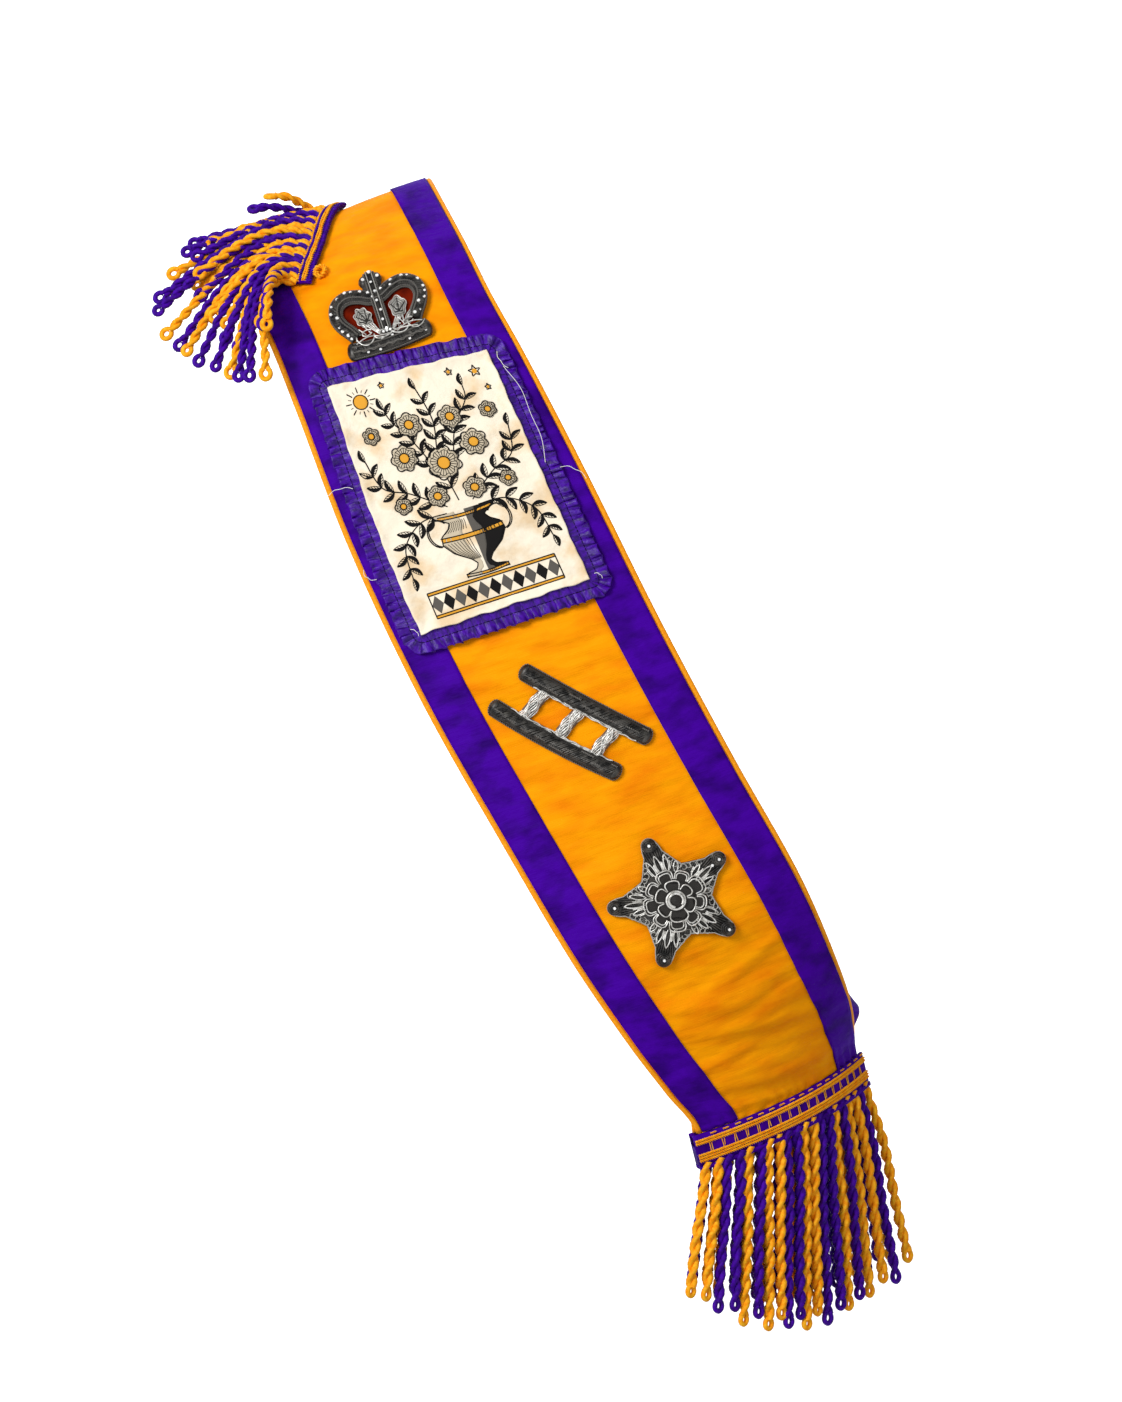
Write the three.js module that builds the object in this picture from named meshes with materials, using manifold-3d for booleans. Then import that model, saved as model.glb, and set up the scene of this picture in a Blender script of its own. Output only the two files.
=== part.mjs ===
// Sash of an order, in the shape it keeps when worn: over one shoulder and down to the opposite hip.
// Millimetres. +Z is up and the front length shows from -Y.
// The origin is the seat, on the underside of the band at the middle of the shoulder seam.
import * as THREE from 'three';
import { mergeVertices } from 'three/addons/utils/BufferGeometryUtils.js';
import Module from 'manifold-3d';

const wasm = await Module();
wasm.setup();

// The loop
const hipAcross = 284;
const hipDrop = 557;
const chestDepth = 110;
const backDepth = 100;
const bandWidth = 154;
const silkThickness = 1.6;
const ribbonWidth = 26;
const ribbonThickness = 1;
const bindingWidth = 3.4;
const bindingThickness = 2.4;
const clearance = 0.3;
const layerGap = 0.6;

// The badges and the picture
const crownWidth = 63;
const crownHeight = 53;
const crownPadding = 3.6;
const crownFrameWidth = 8;
const crownBarWidth = 6.4;
const crownBaseWidth = 10.5;
const crownOrbRadius = 7;
const crownLeafLength = 13;
const velvetThickness = 1;
const panelThickness = 1;
const ruffleWidth = 12;
const ruffleThickness = 1.6;
const pleatPitch = 10.5;
const pleatHeight = 1.5;
const ladderRailLength = 84;
const ladderRailSpacing = 28.2;
const ladderRailWidth = 11.2;
const ladderRailPadding = 4.2;
const ladderSlant = 6.4;
const ladderRungWidth = 8;
const ladderRungPadding = 2.8;
const ladderRungPitch = 24.5;
const starRadius = 41;
const starPadding = 3.4;
const rosetteRadius = 20;
const innerRosetteRadius = 12;
const rosetteThickness = 1.6;
const beadRadius = 4.6;
const beadHeight = 3;

// Where each badge lies: along as a share of the front length, across of the width, turn in degrees
const crownSeat = { along: 0.171, across: 0.004, turn: 19 };
const ladderSeat = { along: 0.583, across: -0.01, turn: -28 };
const starSeat = { along: 0.769, across: -0.006, turn: 25.5 };

// The hip heading, its slot and its fringe
const headingHeight = 20;
const headingWall = 1.6;
const headingMargin = 3;
const slotDepth = 7;
const fringeLength = 133;
const fringeFlare = 15;
const fringeHeadHeight = 5;
const fringeHeadThickness = 5.4;
const lockRadius = 2.9;
const lockPitch = 7.8;
const backLockPitch = 14.5;
const backFringeShortfall = 12;

// The shoulder heading and its fringe
const shoulderHeadingWidth = 11;
const shoulderHeadingThickness = 3;
const shoulderFringeReach = 110;
const shoulderFringeDrop = 115;
const shoulderFringeHeadWidth = 4;
const shoulderLockPitch = 6.8;
const knotRadius = 3.4;
const knotThickness = 3;

// Cross sections of the band, from the shoulder seam down the front.
// across, drop and depth are shares of hipAcross, hipDrop and chestDepth, width and bow of bandWidth.
// tilt and turn are the degrees by which the section rises and turns back towards its neck side.
const frontSections = [
  { across: 0, drop: 0, depth: 0, width: 0.92, bow: 0.03, tilt: 25, turn: 13 },
  { across: 0.033, drop: 0.035, depth: 0.32, width: 0.92, bow: 0.03, tilt: 22, turn: 10 },
  { across: 0.072, drop: 0.075, depth: 0.55, width: 0.92, bow: 0.03, tilt: 18.5, turn: 6.5 },
  { across: 0.116, drop: 0.121, depth: 0.72, width: 0.92, bow: 0.03, tilt: 15.3, turn: 3.3 },
  { across: 0.181, drop: 0.191, depth: 0.87, width: 0.95, bow: 0.03, tilt: 14.9, turn: 0 },
  { across: 0.31, drop: 0.338, depth: 0.97, width: 1.01, bow: 0.04, tilt: 17.3, turn: -3.8 },
  { across: 0.478, drop: 0.514, depth: 1, width: 1.02, bow: 0.04, tilt: 18.3, turn: -3 },
  { across: 0.644, drop: 0.667, depth: 1, width: 1, bow: 0.04, tilt: 19.7, turn: 0 },
  { across: 0.795, drop: 0.8, depth: 0.95, width: 0.99, bow: 0.05, tilt: 20.3, turn: 5.6 },
  { across: 0.895, drop: 0.89, depth: 0.8, width: 0.95, bow: 0.06, tilt: 20.6, turn: 16 },
  { across: 0.958, drop: 0.949, depth: 0.61, width: 0.94, bow: 0.08, tilt: 19.2, turn: 28 },
  { across: 1, drop: 1, depth: 0.44, width: 0.92, bow: 0.09, tilt: 17.9, turn: 38.6 },
];

// The same from the seam down the back, with depth as a share of backDepth.
// Near the hip the back length comes round the side and passes behind the front length.
const backSections = [
  { across: 0.033, drop: 0.035, depth: 0.34, width: 0.92, bow: 0.03, tilt: 22.5, turn: 12 },
  { across: 0.072, drop: 0.075, depth: 0.58, width: 0.92, bow: 0.03, tilt: 19.5, turn: 9 },
  { across: 0.116, drop: 0.121, depth: 0.75, width: 0.93, bow: 0.03, tilt: 16.8, turn: 6 },
  { across: 0.181, drop: 0.191, depth: 0.89, width: 0.95, bow: 0.03, tilt: 15.6, turn: 3 },
  { across: 0.31, drop: 0.338, depth: 0.98, width: 0.97, bow: 0.04, tilt: 17.3, turn: 2 },
  { across: 0.478, drop: 0.514, depth: 1, width: 0.97, bow: 0.04, tilt: 18.5, turn: -1 },
  { across: 0.61, drop: 0.63, depth: 0.97, width: 0.97, bow: 0.04, tilt: 21, turn: -4 },
  { across: 0.768, drop: 0.733, depth: 0.83, width: 0.93, bow: 0.06, tilt: 50, turn: -23 },
  { across: 1.01, drop: 0.811, depth: 0.43, width: 0.87, bow: 0.06, tilt: 62, turn: -100 },
  { across: 1.053, drop: 0.855, depth: -0.17, width: 0.8, bow: 0.07, tilt: 28, turn: -130 },
];

// Soft folds of the front silk: along as a share of its length, across and spread of bandWidth,
// reach of its length, and height in shares of silkThickness, up or down.
const frontFolds = [
  { along: 0.13, across: -0.1, reach: 0.035, spread: 0.3, height: 0.5 },
  { along: 0.575, across: -0.05, reach: 0.03, spread: 0.22, height: -0.5 },
  { along: 0.76, across: 0.1, reach: 0.025, spread: 0.2, height: -0.7 },
  { along: 0.81, across: -0.1, reach: 0.022, spread: 0.22, height: 0.8 },
  { along: 0.85, across: 0.12, reach: 0.02, spread: 0.24, height: -1 },
  { along: 0.885, across: -0.08, reach: 0.02, spread: 0.26, height: 1.1 },
  { along: 0.92, across: 0.1, reach: 0.018, spread: 0.24, height: -1.1 },
  { along: 0.952, across: -0.12, reach: 0.016, spread: 0.22, height: 0.9 },
];

const degrees = THREE.MathUtils.degToRad;
const up = new THREE.Vector3(0, 0, 1);

function directionOf(tilt, turn) {
  const level = Math.cos(degrees(tilt));
  return new THREE.Vector3(
    level * Math.cos(degrees(turn)), level * Math.sin(degrees(turn)), Math.sin(degrees(tilt)));
}

function sectionOf(row, depthSize) {
  return {
    centre: new THREE.Vector3(row.across * hipAcross, row.depth * depthSize, -row.drop * hipDrop),
    width: row.width * bandWidth,
    bow: row.bow * bandWidth,
    tilt: row.tilt,
    turn: row.turn,
  };
}

function movedSection(section, shift, turnBy = 0, tiltFactor = 1) {
  return {
    ...section,
    centre: section.centre.clone().add(shift),
    turn: section.turn + turnBy,
    tilt: section.tilt * tiltFactor,
  };
}

// The hip heading holds both ends in one slot, with the back silk inside the front silk.
const headingSection = sectionOf(frontSections.at(-1), -chestDepth);
const headingLine = directionOf(headingSection.tilt, headingSection.turn);
const headingOut = new THREE.Vector3().crossVectors(headingLine, up).normalize();
const headingDown = new THREE.Vector3().crossVectors(headingLine, headingOut).normalize();
headingDown.multiplyScalar(-Math.sign(headingDown.z));
const intoSlot = headingDown.clone().multiplyScalar(slotDepth);
const silkStep = silkThickness + ribbonThickness + 2 * layerGap;
const behindFront = headingOut.clone().multiplyScalar(-silkStep);
const backHeading = movedSection(headingSection, behindFront, -180, -1);

const loopSections = [
  movedSection(backHeading, intoSlot),
  backHeading,
  ...backSections.map((row) => sectionOf(row, backDepth)).reverse(),
  ...frontSections.map((row) => sectionOf(row, -chestDepth)),
  movedSection(headingSection, intoSlot),
];

// Distances along the loop: the seam is 0, the front positive and the back negative.
const seamRow = backSections.length + 2;
const steps = loopSections.slice(1).map((section, i) => section.centre.distanceTo(loopSections[i].centre));
const fromStart = [0];
for (const step of steps) fromStart.push(fromStart.at(-1) + step);
const stations = fromStart.map((distance) => distance - fromStart[seamRow]);
const frontLength = stations.at(-2);
const backLength = -stations[1];

const sectionValues = loopSections.map((section) => [
  section.centre.x, section.centre.y, section.centre.z, section.width, section.bow, section.tilt, section.turn]);

function slopeAt(row, value) {
  const before = Math.max(row - 1, 0);
  const after = Math.min(row + 1, stations.length - 1);
  const left = row - before;
  const right = after - row;
  const leftStep = left ? stations[row] - stations[before] : 1;
  const rightStep = right ? stations[after] - stations[row] : 1;
  const leftSlope = left ? (sectionValues[row][value] - sectionValues[before][value]) / leftStep : 0;
  const rightSlope = right ? (sectionValues[after][value] - sectionValues[row][value]) / rightStep : 0;
  if (!left) return rightSlope;
  if (!right) return leftSlope;
  return (leftSlope * rightStep + rightSlope * leftStep) / (leftStep + rightStep);
}

const slopes = sectionValues.map((values, row) => values.map((_, value) => slopeAt(row, value)));

function sectionAt(along) {
  let row = 0;
  while (row < stations.length - 2 && along > stations[row + 1]) row += 1;
  const step = stations[row + 1] - stations[row];
  const t = (along - stations[row]) / step;
  const blend = [
    (1 + 2 * t) * (1 - t) ** 2, t * (1 - t) ** 2 * step, t * t * (3 - 2 * t), t * t * (t - 1) * step];
  return sectionValues[row].map((value, k) => value * blend[0] + slopes[row][k] * blend[1]
    + sectionValues[row + 1][k] * blend[2] + slopes[row + 1][k] * blend[3]);
}

function foldHeight(along, across) {
  if (along <= 0) return 0;
  const share = along / frontLength;
  let height = 0;
  for (const fold of frontFolds) {
    const near = ((share - fold.along) / fold.reach) ** 2 + ((across - fold.across) / fold.spread) ** 2;
    height += fold.height * silkThickness * Math.exp(-near);
  }
  return height;
}

const slopeStep = 0.5;

// The middle of the silk. across runs from -0.5 on the arm side to 0.5 on the neck side.
function silkMiddle(along, across) {
  const [x, y, z, width, bow, tilt, turn] = sectionAt(along);
  const ahead = sectionAt(along + slopeStep);
  const behind = sectionAt(along - slopeStep);
  const run = new THREE.Vector3(ahead[0] - behind[0], ahead[1] - behind[1], ahead[2] - behind[2]);
  const line = directionOf(tilt, turn);
  const out = new THREE.Vector3().crossVectors(run, line).normalize();
  const point = new THREE.Vector3(x, y, z).addScaledVector(line, width * across);
  return point.addScaledVector(out, bow * (1 - 4 * across * across) + foldHeight(along, across));
}

const seat = silkMiddle(0, 0).sub(new THREE.Vector3(0, 0, silkThickness / 2));

// A point on the band, at a height over the middle of its silk.
function onBand(along, across, height = 0) {
  const slice = slopeStep / bandWidth;
  const point = silkMiddle(along, across);
  const run = silkMiddle(along + slopeStep, across).sub(silkMiddle(along - slopeStep, across));
  const line = silkMiddle(along, across + slice).sub(silkMiddle(along, across - slice));
  const out = new THREE.Vector3().crossVectors(run, line).normalize();
  return point.addScaledVector(out, height).sub(seat);
}

// The place on the front length that shows at x and z from the front.
function placeOnFront(x, z, guess) {
  let { along, across } = guess;
  for (let round = 0; round < 12; round += 1) {
    const here = onBand(along, across);
    const downBand = onBand(along + 1, across).sub(here);
    const acrossBand = onBand(along, across + 0.01).sub(here);
    const det = downBand.x * acrossBand.z - acrossBand.x * downBand.z;
    const missX = x - here.x;
    const missZ = z - here.z;
    along += (missX * acrossBand.z - acrossBand.x * missZ) / det;
    across += 0.01 * (downBand.x * missZ - missX * downBand.z) / det;
    if (Math.hypot(missX, missZ) < 0.001) break;
  }
  return { along, across };
}

// A frame for a badge: local x runs to the neck side and y up, turned by some degrees as seen from the front.
function badgeFrame({ along, across, turn }) {
  const guess = { along: along * frontLength, across };
  const centre = onBand(guess.along, guess.across);
  const cos = Math.cos(degrees(turn));
  const sin = Math.sin(degrees(turn));
  return (x, y, height) => {
    const place = placeOnFront(centre.x + x * cos - y * sin, centre.z + x * sin + y * cos, guess);
    return onBand(place.along, place.across, height);
  };
}

// Solids
function solidFrom(points, triangles) {
  const geometry = new THREE.BufferGeometry();
  geometry.setAttribute('position', new THREE.Float32BufferAttribute(points.flatMap((p) => [p.x, p.y, p.z]), 3));
  let volume = 0;
  for (const [a, b, c] of triangles) {
    volume += new THREE.Vector3().crossVectors(points[a], points[b]).dot(points[c]);
  }
  const facing = volume > 0 ? triangles : triangles.map(([a, b, c]) => [a, c, b]);
  geometry.setIndex(facing.flat());
  return geometry;
}

function quad(a, b, c, d) {
  return [[a, b, c], [a, c, d]];
}

// A sheet of even thickness over a grid of places.
function sheet(rowCount, columnCount, pointAt) {
  const points = [];
  for (const side of [0, 1]) {
    for (let i = 0; i <= rowCount; i += 1) {
      for (let j = 0; j <= columnCount; j += 1) points.push(pointAt(i, j, side));
    }
  }
  const perSide = (rowCount + 1) * (columnCount + 1);
  const at = (i, j, side) => side * perSide + i * (columnCount + 1) + j;
  const triangles = [];
  for (let i = 0; i < rowCount; i += 1) {
    for (let j = 0; j < columnCount; j += 1) {
      triangles.push(...quad(at(i, j, 0), at(i, j + 1, 0), at(i + 1, j + 1, 0), at(i + 1, j, 0)));
      triangles.push(...quad(at(i, j, 1), at(i + 1, j, 1), at(i + 1, j + 1, 1), at(i, j + 1, 1)));
    }
    triangles.push(...quad(at(i, 0, 0), at(i + 1, 0, 0), at(i + 1, 0, 1), at(i, 0, 1)));
    const j = columnCount;
    triangles.push(...quad(at(i, j, 0), at(i, j, 1), at(i + 1, j, 1), at(i + 1, j, 0)));
  }
  for (let j = 0; j < columnCount; j += 1) {
    triangles.push(...quad(at(0, j, 0), at(0, j, 1), at(0, j + 1, 1), at(0, j + 1, 0)));
    const i = rowCount;
    triangles.push(...quad(at(i, j, 0), at(i, j + 1, 0), at(i, j + 1, 1), at(i, j, 1)));
  }
  return solidFrom(points, triangles);
}

// A profile carried along stations, as a closed ring or with both ends capped.
function swept(profile, stationCount, pointAt, ring = false) {
  const points = [];
  for (let i = 0; i < stationCount; i += 1) {
    for (const corner of profile) points.push(pointAt(i, corner));
  }
  const size = profile.length;
  const triangles = [];
  const last = ring ? stationCount : stationCount - 1;
  for (let i = 0; i < last; i += 1) {
    const next = (i + 1) % stationCount;
    for (let k = 0; k < size; k += 1) {
      const after = (k + 1) % size;
      triangles.push(...quad(i * size + k, next * size + k, next * size + after, i * size + after));
    }
  }
  if (!ring) {
    const flat = profile.map((corner) => new THREE.Vector2(corner.x, corner.y));
    const anticlockwise = THREE.ShapeUtils.area(flat) > 0;
    for (const [a, b, c] of THREE.ShapeUtils.triangulateShape(flat, [])) {
      const far = (stationCount - 1) * size;
      const same = THREE.ShapeUtils.area([flat[a], flat[b], flat[c]]) > 0 === anticlockwise;
      const [p, q] = same ? [b, c] : [c, b];
      triangles.push([a, p, q], [far + a, far + q, far + p]);
    }
  }
  return solidFrom(points, triangles);
}

// A plate inside an outline round its own centre, with its top set ring by ring.
function plate(outline, rings, place, base, topAt) {
  const count = outline.length;
  const points = [];
  for (const side of [0, 1]) {
    points.push(place(0, 0, side ? topAt(0, 0) : base));
    for (const ring of rings) {
      outline.forEach((corner, k) => {
        points.push(place(corner.x * ring, corner.y * ring, side ? topAt(ring, k) : base));
      });
    }
  }
  const perSide = 1 + rings.length * count;
  const at = (side, ring, k) => side * perSide + 1 + ring * count + (k % count);
  const triangles = [];
  for (let k = 0; k < count; k += 1) {
    triangles.push([0, at(0, 0, k + 1), at(0, 0, k)], [perSide, at(1, 0, k), at(1, 0, k + 1)]);
    for (let ring = 0; ring < rings.length - 1; ring += 1) {
      triangles.push(...quad(at(0, ring, k), at(0, ring, k + 1), at(0, ring + 1, k + 1), at(0, ring + 1, k)));
      triangles.push(...quad(at(1, ring, k), at(1, ring + 1, k), at(1, ring + 1, k + 1), at(1, ring, k + 1)));
    }
    const rim = rings.length - 1;
    triangles.push(...quad(at(0, rim, k), at(0, rim, k + 1), at(1, rim, k + 1), at(1, rim, k)));
  }
  return solidFrom(points, triangles);
}

const domedProfile = [
  { x: -1, y: 0 }, { x: -0.78, y: 0.72 }, { x: 0, y: 1 }, { x: 0.78, y: 0.72 }, { x: 1, y: 0 }];
const braidProfile = [...domedProfile, { x: 0, y: 0 }];

// A padded roll along a line drawn in a badge's frame.
function paddedRoll(line, halfWidth, padding, place, base) {
  const normalAt = (i) => {
    const a = line[Math.max(i - 1, 0)];
    const b = line[Math.min(i + 1, line.length - 1)];
    return new THREE.Vector2(-(b.y - a.y), b.x - a.x).normalize();
  };
  return swept(domedProfile, line.length, (i, corner) => {
    const side = normalAt(i).multiplyScalar(corner.x * halfWidth);
    return place(line[i].x + side.x, line[i].y + side.y, base + corner.y * padding);
  });
}

function smoothLine(points, count) {
  return new THREE.SplineCurve(points.map((p) => new THREE.Vector2(p.x, p.y))).getPoints(count);
}

function fused(solids) {
  let whole = null;
  for (const geometry of solids) {
    geometry.deleteAttribute('normal');
    geometry.deleteAttribute('uv');
    const merged = mergeVertices(geometry, 1e-4);
    const mesh = new wasm.Mesh({
      numProp: 3,
      vertProperties: new Float32Array(merged.attributes.position.array),
      triVerts: new Uint32Array(merged.index.array),
    });
    const solid = new wasm.Manifold(mesh);
    whole = whole ? whole.add(solid) : solid;
  }
  const mesh = whole.getMesh();
  const geometry = new THREE.BufferGeometry();
  geometry.setAttribute('position', new THREE.BufferAttribute(new Float32Array(mesh.vertProperties), 3));
  geometry.setIndex(new THREE.BufferAttribute(new Uint32Array(mesh.triVerts), 1));
  return geometry;
}

// One hanging lock of a fringe: a many-sided tube on a bent line, with a rounder end.
const lockSides = 5;
const lockSteps = 4;

function lock(curve, startRadius, endRadius) {
  const frames = curve.computeFrenetFrames(lockSteps, false);
  const profile = Array.from({ length: lockSides }, (_, k) => {
    const angle = 2 * Math.PI * k / lockSides;
    return { x: Math.cos(angle), y: Math.sin(angle) };
  });
  return swept(profile, lockSteps + 1, (i, corner) => {
    const radius = THREE.MathUtils.lerp(startRadius, endRadius, Math.sqrt(i / lockSteps));
    return curve.getPointAt(i / lockSteps)
      .addScaledVector(frames.normals[i], corner.x * radius)
      .addScaledVector(frames.binormals[i], corner.y * radius);
  });
}

// Finishes
const finishes = {
  orange: { color: 0xffa200, roughness: 0.62, metalness: 0 },
  purple: { color: 0x4a0f9e, roughness: 0.55, metalness: 0 },
  cord: { color: 0xffb02a, roughness: 0.6, metalness: 0 },
  linen: { color: 0xf0e2c0, roughness: 0.85, metalness: 0 },
  bullion: { color: 0x3a3a38, roughness: 0.5, metalness: 0.4 },
  silver: { color: 0xb9b6ad, roughness: 0.38, metalness: 0.8 },
  velvet: { color: 0x6e1410, roughness: 0.9, metalness: 0 },
};
const sash = new THREE.Group();

function addPiece(name, geometry, finish) {
  const piece = new THREE.Mesh(geometry, new THREE.MeshStandardMaterial(finishes[finish]));
  piece.name = name;
  sash.add(piece);
}

// Heights over the middle of the silk
const silkTop = silkThickness / 2;
const ribbonBase = silkTop + clearance;
const ribbonTop = ribbonBase + ribbonThickness;
const badgeBase = silkTop + layerGap;
const coverBase = ribbonTop + layerGap;

// Columns of the silk, shared by the ribbons, so that their faces stay parallel
const silkEdge = 0.5 - (bindingWidth + layerGap) / bandWidth;
const ribbonInner = silkEdge - ribbonWidth / bandWidth;
const fieldColumns = 5;
const silkColumns = [-silkEdge];
for (let k = 0; k <= fieldColumns; k += 1) {
  silkColumns.push(THREE.MathUtils.lerp(-ribbonInner, ribbonInner, k / fieldColumns));
}
silkColumns.push(silkEdge);
const armColumns = silkColumns.slice(0, 2);
const neckColumns = silkColumns.slice(-2);

// Rows of a length lie closer at the seam and at the hip, where the band bends most.
const seamGap = clearance / 2;
const headingGap = 2 * clearance;

function rowsAlong(length, count, side) {
  return Array.from({ length: count + 1 }, (_, i) => {
    const share = i / count;
    const eased = share - 0.1 * Math.sin(2 * Math.PI * share);
    return side * THREE.MathUtils.lerp(seamGap, length - headingGap, eased);
  });
}

const lengths = [
  { name: 'front', side: 1, length: frontLength, rowCount: 36 },
  { name: 'back', side: -1, length: backLength, rowCount: 30 },
];

for (const { name, side, length, rowCount } of lengths) {
  const rows = rowsAlong(length, rowCount, side);
  const silkRows = [...rows, side * length, side * (length + slotDepth)];
  addPiece(`${name}_silk`, sheet(silkRows.length - 1, silkColumns.length - 1, (i, j, face) => (
    onBand(silkRows[i], silkColumns[j], face ? silkTop : -silkTop))), 'orange');
  for (const [edge, columns, sign] of [['arm', armColumns, -1], ['neck', neckColumns, 1]]) {
    addPiece(`${name}_ribbon_${edge}`, sheet(rows.length - 1, columns.length - 1, (i, j, face) => (
      onBand(rows[i], columns[j], face ? ribbonTop : ribbonBase))), 'purple');
    const inner = 0.5 - bindingWidth / bandWidth;
    const binding = [
      { x: inner, y: -0.5 }, { x: 0.5, y: -0.25 }, { x: 0.5, y: 0.25 }, { x: inner, y: 0.5 }];
    addPiece(`${name}_binding_${edge}`, swept(binding, rows.length, (i, corner) => (
      onBand(rows[i], sign * corner.x, corner.y * bindingThickness))), 'orange');
  }
}

// Crown badge: lines and outline as shares of half its width and of its height
const crownPlace = badgeFrame(crownSeat);
const crownHalf = crownWidth / 2;
const crownFrameHalfLine = [
  { x: -0.61, y: -0.165 }, { x: -0.68, y: -0.09 }, { x: -0.81, y: 0.02 }, { x: -0.87, y: 0.14 },
  { x: -0.79, y: 0.27 }, { x: -0.57, y: 0.33 }, { x: -0.31, y: 0.3 }, { x: -0.1, y: 0.24 },
];
const crownFrameLine = [...crownFrameHalfLine, ...crownFrameHalfLine.map(({ x, y }) => ({ x: -x, y })).reverse()]
  .map(({ x, y }) => ({ x: x * crownHalf, y: y * crownHeight }));
const velvetBase = badgeBase + clearance;
const velvetTop = velvetBase + velvetThickness;
const trimBase = velvetTop + clearance;
const crownLine = smoothLine(crownFrameLine, 22);
const crownBaseLow = -0.31 * crownHeight;
const crownBaseSag = 0.03 * crownHeight;
const crownBaseReach = 0.76 * crownHalf;
const velvetFoot = [1, -1].map((sign) => ({ x: 0.8 * sign * crownBaseReach, y: crownBaseLow }));
addPiece('crown_velvet',
  plate([...crownLine, ...velvetFoot], [0.33, 0.67, 1], crownPlace, velvetBase, () => velvetTop), 'velvet');

// The frame is one roll that dips in the middle, where the centre bar starts below it.
const frameHalfWidth = crownFrameWidth / 2;
addPiece('crown_frame', paddedRoll(crownLine, frameHalfWidth, crownPadding, crownPlace, trimBase), 'bullion');
const baseLine = [-1, -0.66, -0.33, 0, 0.33, 0.66, 1].map((share) => ({
  x: share * crownBaseReach, y: crownBaseLow - crownBaseSag * (1 - share * share) }));
const baseHalfWidth = crownBaseWidth / 2;
addPiece('crown_base_band', paddedRoll(baseLine, baseHalfWidth, crownPadding, crownPlace, trimBase), 'bullion');
const crownDip = crownFrameHalfLine.at(-1).y;
const barTop = crownDip * crownHeight - frameHalfWidth - 2 * clearance;
const barFoot = crownBaseLow - crownBaseSag + baseHalfWidth + clearance;
const barLine = [0, 0.2, 0.4, 0.6, 0.8, 1].map((share) => ({
  x: 0, y: THREE.MathUtils.lerp(barFoot, barTop, share) }));
addPiece('crown_centre_bar', paddedRoll(barLine, crownBarWidth / 2, crownPadding, crownPlace, trimBase), 'bullion');

function lobedOutline(radiusX, radiusY, lobes, depth, count) {
  return Array.from({ length: count }, (_, k) => {
    const angle = 2 * Math.PI * k / count;
    const reach = 1 - depth * (0.5 - 0.5 * Math.cos(lobes * angle));
    return { x: Math.sin(angle) * reach * radiusX, y: Math.cos(angle) * reach * radiusY };
  });
}

function shifted(place, x, y, turn) {
  const cos = Math.cos(degrees(turn));
  const sin = Math.sin(degrees(turn));
  return (u, v, height) => place(x + u * cos - v * sin, y + u * sin + v * cos, height);
}

const orbNotch = 0.12;
const orbCentre = crownDip * crownHeight + frameHalfWidth + clearance + (1 - orbNotch) * crownOrbRadius;
const orbPlace = shifted(crownPlace, 0, orbCentre, 0);
addPiece('crown_orb', plate(lobedOutline(crownOrbRadius, crownOrbRadius, 3, orbNotch, 12), [0.6, 1], orbPlace,
  trimBase, (ring) => trimBase + crownPadding * (1 - 0.6 * ring * ring)), 'bullion');
for (const [side, sign] of [['left', -1], ['right', 1]]) {
  const leafPlace = shifted(crownPlace, sign * 0.36 * crownHalf, 0.045 * crownHeight, -sign * 14);
  const leaf = lobedOutline(crownLeafLength * 0.4, crownLeafLength / 2, 5, 0.16, 15);
  addPiece(`crown_leaf_${side}`, plate(leaf, [1], leafPlace, trimBase,
    (ring) => trimBase + rosetteThickness * (1 - 0.5 * ring)), 'silver');
}

// Picture panel: corners as shares of the front length and of the band width
const panelCorners = {
  topArm: { along: 0.2255, across: -0.335 },
  topNeck: { along: 0.2315, across: 0.352 },
  footNeck: { along: 0.4635, across: 0.32 },
  footArm: { along: 0.4635, across: -0.372 },
};

function onPanel(right, down) {
  const mix = (key) => THREE.MathUtils.lerp(
    THREE.MathUtils.lerp(panelCorners.topArm[key], panelCorners.topNeck[key], right),
    THREE.MathUtils.lerp(panelCorners.footArm[key], panelCorners.footNeck[key], right), down);
  return { along: mix('along') * frontLength, across: mix('across') * bandWidth };
}

const panelRows = 9;
const panelColumns = 8;
addPiece('picture_panel', sheet(panelRows, panelColumns, (i, j, face) => {
  const { along, across } = onPanel(j / panelColumns, i / panelRows);
  return onBand(along, across / bandWidth, coverBase + face * panelThickness);
}), 'linen');

// The ruffle runs round the panel, with the pleats of its two edges standing up from the stitched middle.
const ruffleCornerSteps = 3;
const sides = [
  [[0, 0], [1, 0]], [[1, 0], [1, 1]], [[1, 1], [0, 1]], [[0, 1], [0, 0]],
].map(([from, to]) => ({ from: onPanel(...from), to: onPanel(...to) }));
const ruffleStations = [];
sides.forEach(({ from, to }, index) => {
  const runAlong = to.along - from.along;
  const runAcross = to.across - from.across;
  const reach = Math.hypot(runAlong, runAcross);
  const normal = Math.atan2(-runAlong, runAcross);
  const following = sides[(index + 1) % sides.length];
  const nextNormal = Math.atan2(
    -(following.to.along - following.from.along), following.to.across - following.from.across);
  const stationCount = 2 * Math.round(reach / pleatPitch);
  for (let k = 1; k < stationCount; k += 1) {
    const share = k / stationCount;
    ruffleStations.push({
      along: from.along + runAlong * share, across: from.across + runAcross * share, angle: normal });
  }
  const bend = THREE.MathUtils.euclideanModulo(nextNormal - normal + Math.PI, 2 * Math.PI) - Math.PI;
  for (let k = 0; k <= ruffleCornerSteps; k += 1) {
    ruffleStations.push({ along: to.along, across: to.across, angle: normal + bend * k / ruffleCornerSteps });
  }
});
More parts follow.
